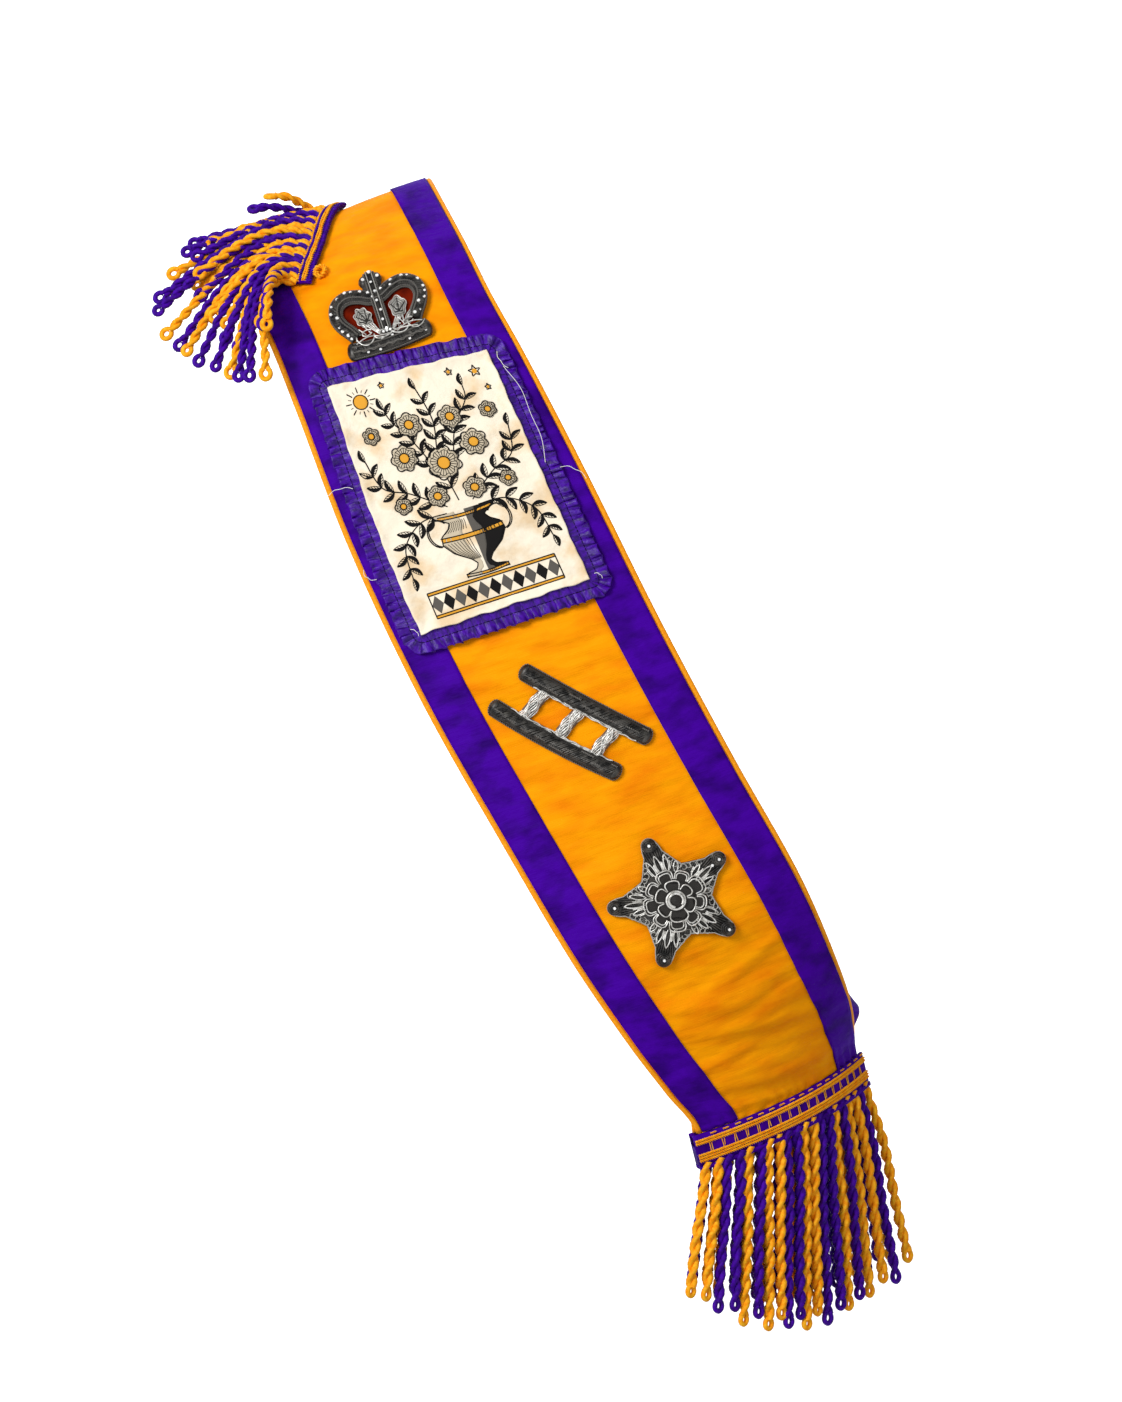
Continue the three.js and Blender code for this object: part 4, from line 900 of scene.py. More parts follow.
# Shoulder braid and its fringe
shoulder = {"width": 11, "thickness": 3, "headWidth": 4}
shoulderPath = [(-0.008, 0.062), (0.032, -0.06), (0.0625, -0.136), (0.083, -0.192), (0.106, -0.25)]


def splineThrough(points, count):
    points = np.asarray(points, float)
    padded = np.concatenate([points[:1], points, points[-1:]])
    t = np.linspace(0, len(points) - 1, count)
    i = np.clip(t.astype(int), 0, len(points) - 2)
    w = (t - i)[:, None]
    p0, p1, p2, p3 = padded[i], padded[i + 1], padded[i + 2], padded[i + 3]
    first, second = (p2 - p0) / 2, (p3 - p1) / 2
    return (p1 * (1 - 3 * w ** 2 + 2 * w ** 3) + p2 * (3 * w ** 2 - 2 * w ** 3)
            + first * (w - 2 * w ** 2 + w ** 3) + second * (w ** 3 - w ** 2))


shoulderLine = splineThrough([(across * bandWidth, along * frontLength) for along, across in shoulderPath],
                             90)
shoulderTangent = unit(np.gradient(shoulderLine, axis=0))
shoulderNormal = np.stack([-shoulderTangent[:, 1], shoulderTangent[:, 0]], -1)


def besideShoulderLine(index, aside, height):
    base, normal = shoulderLine[index], shoulderNormal[index]
    place = base + normal * np.asarray(aside, float)[..., None]
    return onBand(place[..., 1], place[..., 0] / bandWidth, height)


index = np.arange(len(shoulderLine))
halfDome = [(-1, 0), (-0.95, 0.35), (-0.75, 0.72), (-0.4, 0.93)]
dome = halfDome + [(0, 1)] + [(-x, y) for x, y in reversed(halfDome)]


def domeRings(asideBase, halfWidth):
    return np.stack([besideShoulderLine(
        index, asideBase + x * halfWidth, coverBase + y * shoulder["thickness"]) for x, y in dome], 1)


braid = sweptTube("shoulderBraid", domeRings(0, shoulder["width"] / 2), purpleMaterial,
                  np.stack(np.meshgrid(index * 0.15, np.linspace(0, 1, len(dome)), indexing="ij")[::-1], -1))
stripes = {
    "y": ((-1.9, 3.5, 0.62), (-0.4, 3.7, 0.55), (3.3, 3.0, 0.78), (4.9, 1.9, 0.8)),
    "p": ((-4.9, 1.7, 0.85), (1.4, 3.6, 0.7)),
}
stripeCords = []
for letter, material in (("y", cordMaterial), ("p", purpleCordMaterial)):
    for aside, height, radius in stripes[letter]:
        line = besideShoulderLine(index, aside + 0.25 * np.sin(index * 0.4 + aside), coverBase + height)
        stripeCords.append(laidThreads(
            "shoulderStripe", [line], radius, material, plies=2, pitch=4.4, step=0.6, sides=5))
wraps = []
for k in range(2, len(shoulderLine) - 1, 2):
    x = np.linspace(-0.92, 0.92, 9)
    wraps.append(besideShoulderLine(np.full(9, k), x * shoulder["width"] / 2,
                                    coverBase + 0.2 + np.sqrt(1 - x * x) * shoulder["thickness"]))
wrapThreads = laidThreads("shoulderWraps", wraps, 0.5, purpleCordMaterial, step=1.2, sides=5)
ridden(joined("shoulder_heading_braid", [braid, wrapThreads] + stripeCords),
       "shoulder_heading")

# Ends of the shoulder cords, measured from the front, by start, x, z, forward and colour: start is the share
# along the braid, x and z are millimetres from the seat, forward is the share of the chest's depth
shoulderEnds = [
    (0.0, -35, 9, 0.08, "y"), (0.05, -46, 1, 0.1, "p"), (0.1, -84, -21, 0.14, "p"),
    (0.16, -88, -27, 0.2, "p"),
    (0.21, -96, -41, 0.24, "y"), (0.27, -81, -49, 0.3, "y"), (0.32, -104, -57, 0.34, "p"),
    (0.38, -105, -66, 0.4, "p"), (0.44, -99, -81, 0.46, "y"), (0.5, -68, -71, 0.56, "y"),
    (0.55, -90, -89, 0.58, "p"), (0.61, -85, -93, 0.64, "y"), (0.67, -77, -100, 0.72, "p"),
    (0.73, -66, -104, 0.8, "p"), (0.79, -56, -108, 0.88, "y"), (0.85, -51, -111, 0.94, "p"),
    (0.92, -44, -111, 1.0, "p"), (1.0, -34, -110, 1.04, "y"),
]
sampleAlong, sampleAcross = np.meshgrid(np.arange(-100, 205, 5.0), np.arange(-0.5, 0.3, 0.03), indexing="ij")
samplePoints = onBand(sampleAlong, sampleAcross).reshape(-1, 3)
sampleOuts = onBand(sampleAlong, sampleAcross, 1).reshape(-1, 3) - samplePoints


def clearOfBand(line, gap):
    cleared = line.copy()
    for k, point in enumerate(line):
        if k < 2:
            continue
        away = np.linalg.norm(samplePoints - point, axis=1)
        nearest = int(np.argmin(away))
        height = np.dot(point - samplePoints[nearest], sampleOuts[nearest])
        aside = math.sqrt(max(0, away[nearest] ** 2 - height * height))
        if aside < 9 and height < gap:
            cleared[k] = point + sampleOuts[nearest] * (gap - height)
    smooth = cleared.copy()
    for _ in range(3):
        smooth[1:-1] = (smooth[:-2] + 2 * smooth[1:-1] + smooth[2:]) / 4
    return smooth


lines, colours = [], ""
headAside = shoulder["width"] / 2 + loop["clearance"] + shoulder["headWidth"] / 2


def shoulderCord(start, x, z, forward, rise):
    at = round(1 + start * (len(shoulderLine) - 3))
    root = besideShoulderLine(np.array([at]), headAside - 3, coverBase + 1.6)[0]
    beyond = besideShoulderLine(np.array([at]), headAside + 22, coverBase + 12 + rise)[0]
    end = np.array([x, -forward * loop["chestDepth"], z + 4])
    fall = np.linalg.norm(end - root)
    control = root + unit(beyond - root) * 0.4 * fall
    arriving = math.radians(12 + 76 * start)
    above = end + 0.32 * fall * np.array([math.cos(arriving), 0, math.sin(arriving)])
    t = np.linspace(0, 1, 34)[:, None]
    line = root * (1 - t) ** 3 + control * 3 * t * (1 - t) ** 2 + above * 3 * t * t * (1 - t) + end * t ** 3
    return clearOfBand(line, coverBase + 3.6 + rise / 3)


for start, x, z, forward, colour in shoulderEnds:
    lines.append(shoulderCord(start, x, z, forward, 0))
    colours += colour
# shorter cords that lie over the others, each between two of them and leaning across
for k, (first, second) in enumerate(zip(shoulderEnds[1:-1], shoulderEnds[2:])):
    part = draw.uniform(0.3, 0.7)
    start, x, z, forward = (first[j] + (second[j] - first[j]) * part for j in range(4))
    inward = draw.uniform(0.66, 0.9)
    lines.append(shoulderCord(start, x * inward + draw.uniform(-5, 5), z * inward + draw.uniform(-6, 3),
                              forward * 0.96 + 0.03, 7))
    colours += "yyppyypypyyppypyy"[k]
cords = fringePiece("shoulderCords", lines, colours, np.array([1.0, 0, 0]), 0.83)
backing = sweptTube("shoulderFringeHead", domeRings(headAside - 0.6, shoulder["headWidth"] / 2), cordMaterial)
ridden(joined("shoulder_fringe_cords", [cords, backing]), "shoulder_fringe")

# Curled knot of cord beside the braid
knotAt = 74
curl = []
for k in range(70):
    angle = 2 * math.pi * 2.3 * k / 69
    reach = 2.2 + 2.0 * k / 69
    curl.append(besideShoulderLine(np.array([knotAt + 5 * math.sin(angle)]).round().astype(int),
                                   -(shoulder["width"] / 2 + 4.4) + reach * math.cos(angle),
                                   badgeBase + 1.2 + 1.6 * k / 69)[0])
knot = laidThreads("knotCord", [curl], 0.85, cordMaterial, plies=2, pitch=5, step=0.8, sides=6)
ridden(joined("shoulder_knot_cord", [knot]), "shoulder_knot")
print("shoulder braid and fringe made")


# Threads wound over a padded roll, one beside the other
def woundLines(line, halfWidth, padding, place, base, pitch, slant, irregular=0.0):
    line = np.asarray(line, float)
    reach = np.concatenate([[0], np.cumsum(np.linalg.norm(np.diff(line, axis=0), axis=1))])
    x = np.linspace(-0.97, 0.97, 8)
    heights = base + padding * (1 - np.abs(x) ** 2.2)
    starts = np.arange(pitch / 2, reach[-1], pitch)
    along = starts[:, None] + slant * halfWidth * x[None]
    if irregular:
        along = along + irregular * np.array([[draw.uniform(-1, 1)] for _ in starts])
    along = np.clip(along, 0, reach[-1])
    centreX, centreY = np.interp(along, reach, line[:, 0]), np.interp(along, reach, line[:, 1])
    tangent = unit(np.gradient(line, axis=0))
    tangentX, tangentY = np.interp(along, reach, tangent[:, 0]), np.interp(along, reach, tangent[:, 1])
    length = np.hypot(tangentX, tangentY)
    points = place(centreX - tangentY / length * x * halfWidth, centreY + tangentX / length * x * halfWidth,
                   np.broadcast_to(heights, along.shape))
    return list(points)


def besideLine(line, aside):
    tangent = unit(np.gradient(np.asarray(line, float), axis=0))
    return line + np.stack([-tangent[:, 1], tangent[:, 0]], -1) * aside


def facingOf(place, x, y):
    return unit(place(x, y, 8.0) - place(x, y, 4.0))


def arcLine(centre, radiusX, radiusY, start, stop, count=24, turn=0.0):
    angle = np.radians(np.linspace(start, stop, count))
    x, y = np.cos(angle) * radiusX, np.sin(angle) * radiusY
    cos, sin = math.cos(math.radians(turn)), math.sin(math.radians(turn))
    return np.stack([centre[0] + x * cos - y * sin, centre[1] + x * sin + y * cos], -1)


# A rounded end for a padded roll
def paddedEnd(name, tip, ahead, halfWidth, padding, length, place, base, material):
    ahead = np.asarray(ahead, float) / math.hypot(*ahead)
    side = np.array([-ahead[1], ahead[0]])
    domeX, domeY = np.array(dome).T
    rings = []
    for share in np.linspace(-0.25, 0.99, 8):
        size = math.sqrt(1 - max(share, 0) ** 2)
        middle = np.asarray(tip, float) + ahead * share * length
        rings.append(place(middle[0] + side[0] * domeX * halfWidth * size,
                           middle[1] + side[1] * domeX * halfWidth * size, base + domeY * padding * size))
    return sweptTube(name, np.array(rings), material)


def repaint(material, *nodes):
    for node in nodes:
        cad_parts[node].data.materials.clear()
        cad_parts[node].data.materials.append(material)


def lobed(radiusX, radiusY, lobes, depth, count=60):
    angle = np.linspace(0, 2 * math.pi, count)
    reach = 1 - depth * (0.5 - 0.5 * np.cos(lobes * angle))
    return np.stack([np.sin(angle) * reach * radiusX, np.cos(angle) * reach * radiusY], -1)


def turnedBy(points, centre, turn):
    cos, sin = math.cos(math.radians(turn)), math.sin(math.radians(turn))
    x, y = np.asarray(points, float).T
    return np.stack([centre[0] + x * cos - y * sin, centre[1] + x * sin + y * cos], -1)


# Crown badge
crown = {
    "width": 63, "height": 53, "padding": 3.6, "frameWidth": 8, "baseWidth": 10.5,
    "orbRadius": 7, "dip": 0.24, "velvet": 1.0, "leafLength": 13, "threadPitch": 1.0, "threadRadius": 0.5,
    "spangles": (1.1, 0.85),
}
crownPlace = badgeFrame(0.171, 0.004, 19)
crownHalf, crownHeight = crown["width"] / 2, crown["height"]
crownTrim = badgeBase + 2 * loop["clearance"] + crown["velvet"]
halfFrame = [(-0.61, -0.165), (-0.68, -0.09), (-0.81, 0.02), (-0.87, 0.14), (-0.79, 0.27), (-0.57, 0.33),
             (-0.31, 0.3), (-0.1, 0.24)]
frameShares = halfFrame + [(-x, y) for x, y in reversed(halfFrame)]
frameLine = splineThrough([(x * crownHalf, y * crownHeight) for x, y in frameShares], 120)
halfWidth = crown["frameWidth"] / 2
baseLow, baseSag, baseReach = -0.31 * crownHeight, 0.03 * crownHeight, 0.76 * crownHalf


def baseLineAt(shares, rise=0.0):
    shares = np.asarray(shares, float)
    return np.stack([shares * baseReach, baseLow - baseSag * (1 - shares ** 2) + rise], -1)


baseLine = baseLineAt(np.linspace(-1, 1, 44))
barFoot = baseLow - baseSag + crown["baseWidth"] / 2 + loop["clearance"]
orbY = crown["dip"] * crownHeight + halfWidth + loop["clearance"] + 0.88 * crown["orbRadius"]
barLine = np.stack([np.zeros(30), np.linspace(barFoot, orbY + 4.5, 30)], -1)
crownTop = crownTrim + crown["padding"]


def onCrown(line, height):
    return crownPlace(*line.T, crownTrim + height)


def overCrown(line, height):
    return crownPlace(*line.T, crownTop + height)


def crownEnd(name, tip, ahead, halfWidth, padding):
    return paddedEnd(name, tip, ahead, halfWidth, padding, 3.6, crownPlace, crownTrim, bullionMaterial)


wound = []
for line, half, slant, irregular in (
        (frameLine, halfWidth, 0.55, 0.35), (baseLine, crown["baseWidth"] / 2, -0.5, 0.4)):
    wound += woundLines(line, half, crown["padding"] + 0.2, crownPlace, crownTrim, crown["threadPitch"],
                        slant, irregular)
darkThreads = [laidThreads(
    "crownDarkThreads", wound, crown["threadRadius"], bullionMaterial, step=1.2, sides=5)]
for sign in (-1, 1):
    darkThreads.append(crownEnd("crownBaseEnd", baseLineAt([sign])[0] + np.array([0, 0.4]), (sign, 0.12),
                                crown["baseWidth"] / 2 + 0.5, crown["padding"] + 0.4))
for bearing in (-90, 0, 90):
    outward = (math.sin(math.radians(bearing)), math.cos(math.radians(bearing)))
    centre = np.array([outward[0] * 4.0, orbY + 1.0 + outward[1] * 2.6])
    darkThreads.append(crownEnd("crownOrbLobe", centre, outward, 3.7, crown["padding"]))

# dull cords along the rolls and at the frame's inner edge, and thin bright ones along the bar
dullLines, brightLines = [], []
for line, asides in (
        (frameLine, ((-3.5, 2.0), (3.6, 1.9), (-1.6, 3.8))),
        (baseLine, ((4.7, 1.9), (2.0, 3.9), (-1.4, 4.0), (-4.6, 1.9))),
        (barLine, ((-3.1, 3.0), (3.1, 3.0)))):
    for aside, height in asides:
        dullLines.append(onCrown(besideLine(line, aside), height))
dullLines.append(onCrown(besideLine(frameLine, -halfWidth - 0.2)[3:-3], 1.3))
for aside in (-1.75, 1.75):
    brightLines.append(overCrown(besideLine(barLine, aside), 0.3 + 0.7 * (barLine[:, 1] > 7)))
dullCords = laidThreads(
    "crownDullCords", dullLines, 0.42, greyLeafMaterial, plies=2, pitch=2.8, step=0.55, sides=5)
brightCords = laidThreads(
    "crownBrightCords", brightLines, 0.26, greyEdgeMaterial, plies=2, pitch=2.4, step=0.5, sides=5)

# Leaves with veins on stalks that fan out from the foot
leafLines, leafEdges, leafVeins, silverLines = [], [], [], []
for sign, lobes, lean, wide in ((-1, 7, 24, 0.42), (1, 5, -8, 0.44)):
    centre = (sign * 0.36 * crownHalf, 0.045 * crownHeight)
    size = crown["leafLength"]
    for part, lines in ((1, leafEdges), (0.8, leafLines), (0.55, leafLines), (0.3, leafLines)):
        outline = turnedBy(lobed(size * wide * part, size * 0.53 * part, lobes, 0.2), centre, lean)
        lines.append(onCrown(outline, 1.5 + 0.6 * (1 - part)))
    t = np.linspace(0, 0.95, 7)
    for bearing in 2 * math.pi * np.arange(lobes) / lobes:
        vein = np.stack([np.sin(bearing) * size * wide * t * 0.85,
                         -0.3 * size * (1 - t) + np.cos(bearing) * size * 0.4 * t], -1)
        leafVeins.append(onCrown(turnedBy(vein, centre, lean), 2.3))
    foot = np.array([sign * 4.2, -0.2 * crownHeight])
    stem = turnedBy([(0, -0.45 * size)], centre, lean)[0]
    t = np.linspace(0, 1, 9)[:, None]
    for offset in (-1.5, -0.5, 0.5, 1.5):
        silverLines.append(onCrown(foot * (1 - t) + stem * t + np.array([offset, 0]) * (0.5 + t), 1.6))
# bent wires beside the leaves: a zigzag, then feathery strokes by root, its step, bearing, length and bend
zigzagWire = [(8, -10.4), (9.2, -4.6), (11.6, -9.6), (12.4, -3.8)]
silverLines.append(onCrown(np.array(zigzagWire), 2.2))
t = np.linspace(0, 1, 8)[:, None]
for count, root, rootStep, bearing, bearingStep, length, bent in (
        (6, (12.4, -9.6), (0.9, 0.4), 52, -8, 8.6, 1), (3, (-9.5, -9.2), (-3.4, 0.6), 118, 10, 6.5, 0)):
    for k in range(count):
        bend = math.radians(bearing + bearingStep * k)
        stroke = np.array(root) + np.array(rootStep) * k + t * [math.cos(bend), math.sin(bend)] * (length - k)
        silverLines.append(onCrown(stroke + bent * np.sin(math.pi * t) * [-0.8, 0.6], 1.9))
# a long looped wire over the top of the base band
t = np.linspace(0, 1, 150)
swing = 1.4 + 0.8 * np.sin(t * 9)
loops = np.stack([2.2 * np.cos(t * 25), swing * 1.5 * np.sin(t * 25)], -1)
silverLines.append(overCrown(baseLineAt(2 * t - 1, 4.4) * [0.92, 1] + loops, 0.7))
for x, y, radiusX, radiusY in (
        (-12, -8.6, 3.2, 1.8), (14.5, -9.4, 3.4, 1.7), (-2, -11.4, 3.4, 1.6), (7, -10.6, 2.8, 1.4)):
    silverLines.append(onCrown(arcLine((x, y), radiusX, radiusY, 20, 330, 26, 12 * math.sin(x)), 3.4))
t = np.linspace(0, 1, 30)
for low, high, rise, lift in ((-0.85, -0.1, 3.0, 3.0), (-0.2, 0.8, 2.4, 2.6), (0.25, 0.95, 4.0, 2.4)):
    arch = baseLineAt(low + (high - low) * t) + np.stack([0 * t, rise + lift * np.sin(math.pi * t)], -1)
    silverLines.append(overCrown(arch, 0.9))
t = np.linspace(0, 1, 120)
wavy = baseLineAt(1.8 * t - 0.9, -1.6) + np.stack([0 * t, 0.8 * np.sin(44 * t)], -1)
silverWires = laidThreads("crownWires", silverLines, 0.42, silverMaterial, step=0.6, sides=5)
waveThread = laidThreads("crownWave", [overCrown(wavy, 0.5)], 0.36, greyLeafMaterial, step=0.6, sides=5)
leafThreads = laidThreads("crownLeafThreads", leafLines, 0.6, greyEdgeMaterial, step=0.8, sides=5)
leafDarks = laidThreads("crownLeafVeins", leafVeins, 0.34, darkCordMaterial, step=0.8, sides=5)
leafRims = laidThreads("crownLeafRims", leafEdges, 0.36, silverMaterial, step=0.6, sides=5)

# Spangles: most of them near the outer edge of the frame
bigPlaces, smallPlaces = [], []
for k in range(26):
    at = round(4 + 111 * (k + draw.uniform(-0.25, 0.25)) / 25)
    aside = draw.choice((2.2, 2.6, 1.8, 2.4, -0.6))
    x, y = besideLine(frameLine, aside)[min(max(at, 2), 117)]
    (bigPlaces if k % 3 else smallPlaces).append((x, y, crownTrim + 3.1 if aside > 0 else crownTop + 0.5))
for k, y in enumerate(np.linspace(barFoot + 2.6, orbY + 3.4, 7)):
    smallPlaces.append(((0.3, -0.3)[k % 2], y, crownTop + 0.4 + 0.7 * (y > 7)))
for x in (-2.2, 0, 2.2):
    smallPlaces.append((x, barFoot + 0.9, crownTop + 0.9))
for x, y in ((-4.6, orbY + 0.8), (4.7, orbY + 0.6), (0.3, orbY + 4.6)):
    bigPlaces.append((x, y, crownTop + 0.4))
for share, rise in ((-0.9, 1.8), (-0.62, -2.8), (-0.3, -3.2), (0.1, 3.2), (0.5, -3), (0.88, 2), (0.96, -2)):
    smallPlaces.append((*baseLineAt([share], rise)[0], crownTrim + 3.4))
spangles = []
for label, places, radius in zip(("Big", "Small"), (bigPlaces, smallPlaces), crown["spangles"]):
    places = np.array(places)
    spangles.append(sewnSpangles(f"crown{label}Spangles", crownPlace(*places.T),
                                 facingOf(crownPlace, places[:, 0], places[:, 1]), radius, 3))
ridden(joined("crown_dark_threads", darkThreads + [dullCords, waveThread]))
crownWires = [silverWires, brightCords, leafThreads, leafDarks, leafRims]
ridden(joined("crown_silver_wires", crownWires + spangles))
repaint(darkCordMaterial, "crown_frame", "crown_base_band", "crown_centre_bar", "crown_orb")
repaint(velvetMaterial, "crown_velvet")
repaint(greyEdgeMaterial, "crown_leaf_left", "crown_leaf_right")
print("crown made")


# Ladder badge
ladder = {"railLength": 84, "spacing": 28.2, "railWidth": 11.2, "padding": 4.2, "slant": 6.4,
          "rungPadding": 2.8, "rungPitch": 24.5}
ladderPlace = badgeFrame(0.583, -0.01, -28)
halfSpacing, bow = ladder["spacing"] / 2, 0.02 * ladder["railLength"]


def railMiddle(sign, share):
    return sign * halfSpacing - bow * (1 - share ** 2) * (1 if sign < 0 else 0.4)


def onLadder(line, height):
    return ladderPlace(*line.T, badgeBase + height)


darkLines, greyLines, silverLines, ends = [], [], [], []
for sign in (1, -1):
    share = np.linspace(-1, 1, 60)
    x = share * ladder["railLength"] / 2 + sign * ladder["slant"] / 2
    line = np.stack([x, railMiddle(sign, share)], -1)
    darkLines += woundLines(line, ladder["railWidth"] / 2, ladder["padding"] + 0.25, ladderPlace, badgeBase,
                            1.05, 0.9, 0.5)
    for aside in (5.3, -5.3):
        greyLines.append(onLadder(besideLine(line, aside), 1.2))
    for start in range(0, 60, 7):
        broken = besideLine(line, draw.uniform(-3.6, 3.6))[start:start + draw.randint(4, 8)]
        if len(broken) > 2:
            greyLines.append(onLadder(broken, ladder["padding"] + 0.35))
    # broken bright wires along the inner side of the rail
    for start, stop, aside in ((6, 26, 5.3), (10, 32, 4.3), (24, 46, 5.5), (30, 50, 4.5), (42, 57, 5.4)):
        edge = besideLine(line, -sign * aside)[start:stop]
        ripple = np.stack([np.zeros(len(edge)), 0.35 * np.sin(np.arange(len(edge)) * 1.1 + start)], -1)
        silverLines.append(onLadder(edge + ripple, 2.5))
    for tip, outward in ((line[0], -1), (line[-1], 1)):
        ends.append(paddedEnd(
            "ladderEnd", tip, (outward, 0.03 * outward * sign), ladder["railWidth"] / 2,
            ladder["padding"] + 0.3, 3.6, ladderPlace, badgeBase, bullionMaterial))
        greyLines.append(onLadder(arcLine(tip, 3.5, 5.3, -84, 84, 18, 0 if outward > 0 else 180), 1.3))
rungSlope = ladder["slant"] / ladder["spacing"]
for rung in (-1, 0, 1):
    share = 2 * rung * ladder["rungPitch"] / ladder["railLength"]
    low, high = railMiddle(-1, share) + 4.9, railMiddle(1, share) - 4.9
    t = np.linspace(0, 1, 34)
    y = low + (high - low) * t
    centre = rung * ladder["rungPitch"] + rungSlope * y
    for k, part in enumerate((-1, -0.8, -0.5, -0.2, 0.15, 0.45, 0.75, 1)):
        ripple = 0.55 * np.sin(t * 9 + k * 0.9 + rung) * (1.3 if abs(part) == 1 else 0.8)
        height = badgeBase + 0.9 + ladder["rungPadding"] * (1 - 0.85 * part ** 2)
        silverLines.append(ladderPlace(centre + part * 3.4 + ripple, y, height))
    for k in (0, 1):
        crossing = centre + 2.2 * np.sin(t * 6 + k * math.pi + rung)
        silverLines.append(ladderPlace(crossing, y, badgeBase + 4.0 + 0.3 * k))
rails = laidThreads("ladderThreads", darkLines, 0.56, bullionMaterial, step=1.3, sides=5)
edges = laidThreads("ladderEdges", greyLines, 0.36, greyLeafMaterial, plies=2, pitch=3, step=0.55, sides=5)
ridden(joined("ladder_dark_threads", [rails, edges] + ends))
rungs = laidThreads("ladderWires", silverLines, 0.48, silverMaterial, step=0.7, sides=5)
ridden(joined("ladder_silver_wires", [rungs]))
repaint(darkCordMaterial, "ladder_rail_upper", "ladder_rail_lower")
repaint(greyLeafMaterial, "ladder_rung_1", "ladder_rung_2", "ladder_rung_3")
print("ladder made")


# Star badge
star = {"radius": 41, "padding": 3.4, "layer": 1.6, "points": 5, "studReach": 37}
starPlace = badgeFrame(0.769, -0.006, 25.5)
starTop = badgeBase + star["padding"]
halfPoint = [(0, 1), (6, 0.97), (9, 0.87), (11, 0.78), (17, 0.7), (26, 0.62), (36, 0.57)]
bearings, reaches = [], []
for point in range(star["points"]):
    for angle, reach in halfPoint + [(72 - a, r) for a, r in reversed(halfPoint[1:-1])]:
        bearings.append(72 * point + angle)
        reaches.append(reach * star["radius"])
bearings, reaches = np.array(bearings + [360.0]), np.array(reaches + [reaches[0]])


def starReach(bearing):
    return np.interp(np.mod(bearing, 360), bearings, reaches)


def onStar(bearing, reach, lift):
    bearing, reach = np.asarray(bearing, float), np.asarray(reach, float)
    share = reach / starReach(bearing)
    height = starTop - 0.45 * star["padding"] * np.clip((share - 0.55) / 0.45, 0, 1) + lift
    return starPlace(np.sin(np.radians(bearing)) * reach, np.cos(np.radians(bearing)) * reach, height)


def starLeaf(bearing, start, length, width, lift):
    t = np.concatenate([np.linspace(0, 1, 9), np.linspace(1, 0, 9)])
    side = np.concatenate([np.ones(9), -np.ones(9)]) * np.sin(math.pi * t) ** 0.7 * width / 2
    reach = start + length * t
    return onStar(bearing + np.degrees(np.arctan2(side, reach)), np.hypot(side, reach), lift)


darkLines, greyLines, silverLines, heavyLines = [], [], [], []
for bearing in np.arange(0, 360, 2.6):
    edge = float(starReach(bearing))
    darkLines.append(onStar(np.full(9, bearing), np.linspace(13, edge - 0.5, 9), 0.15))
# the edge: a thin grey cord, with curls and short loops inside it
turn = np.linspace(0, 360, 500)
greyLines.append(onStar(turn, starReach(turn) - 0.5, 0.7))
for point in range(star["points"]):
    tip = 72 * point
    for side in (-1, 1):
        for k, angle in enumerate((14, 19.5, 25.5, 32)):
            reach = float(starReach(tip + side * angle))
            size = (2.0, 1.6, 2.2, 1.7)[(k + point) % 4]
            curl = np.radians(np.linspace(30, 330, 16) + 57 * (k + point))
            middle = reach - size - 0.7
            bearing = tip + side * angle + np.degrees(size * np.cos(curl) / middle)
            greyLines.append(onStar(bearing, middle + size * 0.8 * np.sin(curl), 0.8))
# sprays in each arm: four open leaves, with plain strokes beside the first three
sprays = ((0, 12.5, 3.2), (12, 10.5, 2.8), (-12, 10.5, 2.8), (27, 7, 3.0))
for point in range(star["points"]):
    tip = 72 * point
    for k, (angle, length, width) in enumerate(sprays):
        length = length * (1 + 0.12 * math.sin(2.1 * point + k))
        heavyLines.append(starLeaf(tip + angle, 17.5, length, width, 1.0))
        for side in (-5.4, 5.4):
            if k < 3:
                stroke = np.linspace(20, 18 + length * 0.6, 6)
                silverLines.append(onStar(np.full(6, tip + angle + side), stroke, 1.1))
rosetteTop = starTop + loop["clearance"] + star["layer"]
innerTop = rosetteTop + loop["clearance"] + star["layer"]


def petalRing(count, near, far, spread, phase, height, openPetal):
    petals = []
    for k in range(count):
        bearing = math.radians(360 * (k + phase) / count)
        grow = 1.25 if k == openPetal else 1 + 0.07 * math.sin(3.7 * k + near)
        t = np.linspace(-1, 1, 20)
        reach = near + (far - near) * grow * np.sqrt(np.clip(1 - t ** 4, 0, 1))
        angle = bearing + t * math.radians(spread) * grow
        petals.append(starPlace(np.sin(angle) * reach, np.cos(angle) * reach, height + 0.5 * (1 - t ** 2)))
    return petals


# rings by their number of petals, near and far ends, spread, phase, height and widest petal
for row in ((9, 13.6, 19.2, 18.5, 0, rosetteTop + 0.35, 2), (9, 13.4, 17.6, 14.5, 0, rosetteTop + 0.35, 2),
            (6, 7.2, 12.2, 27, 0.2, innerTop + 0.35, 3)):
    heavyLines += petalRing(*row)


def starCircle(reach, height, start=0, stop=360):
    angle = np.radians(np.linspace(start, stop, 60))
    return starPlace(np.sin(angle) * reach, np.cos(angle) * reach, height)


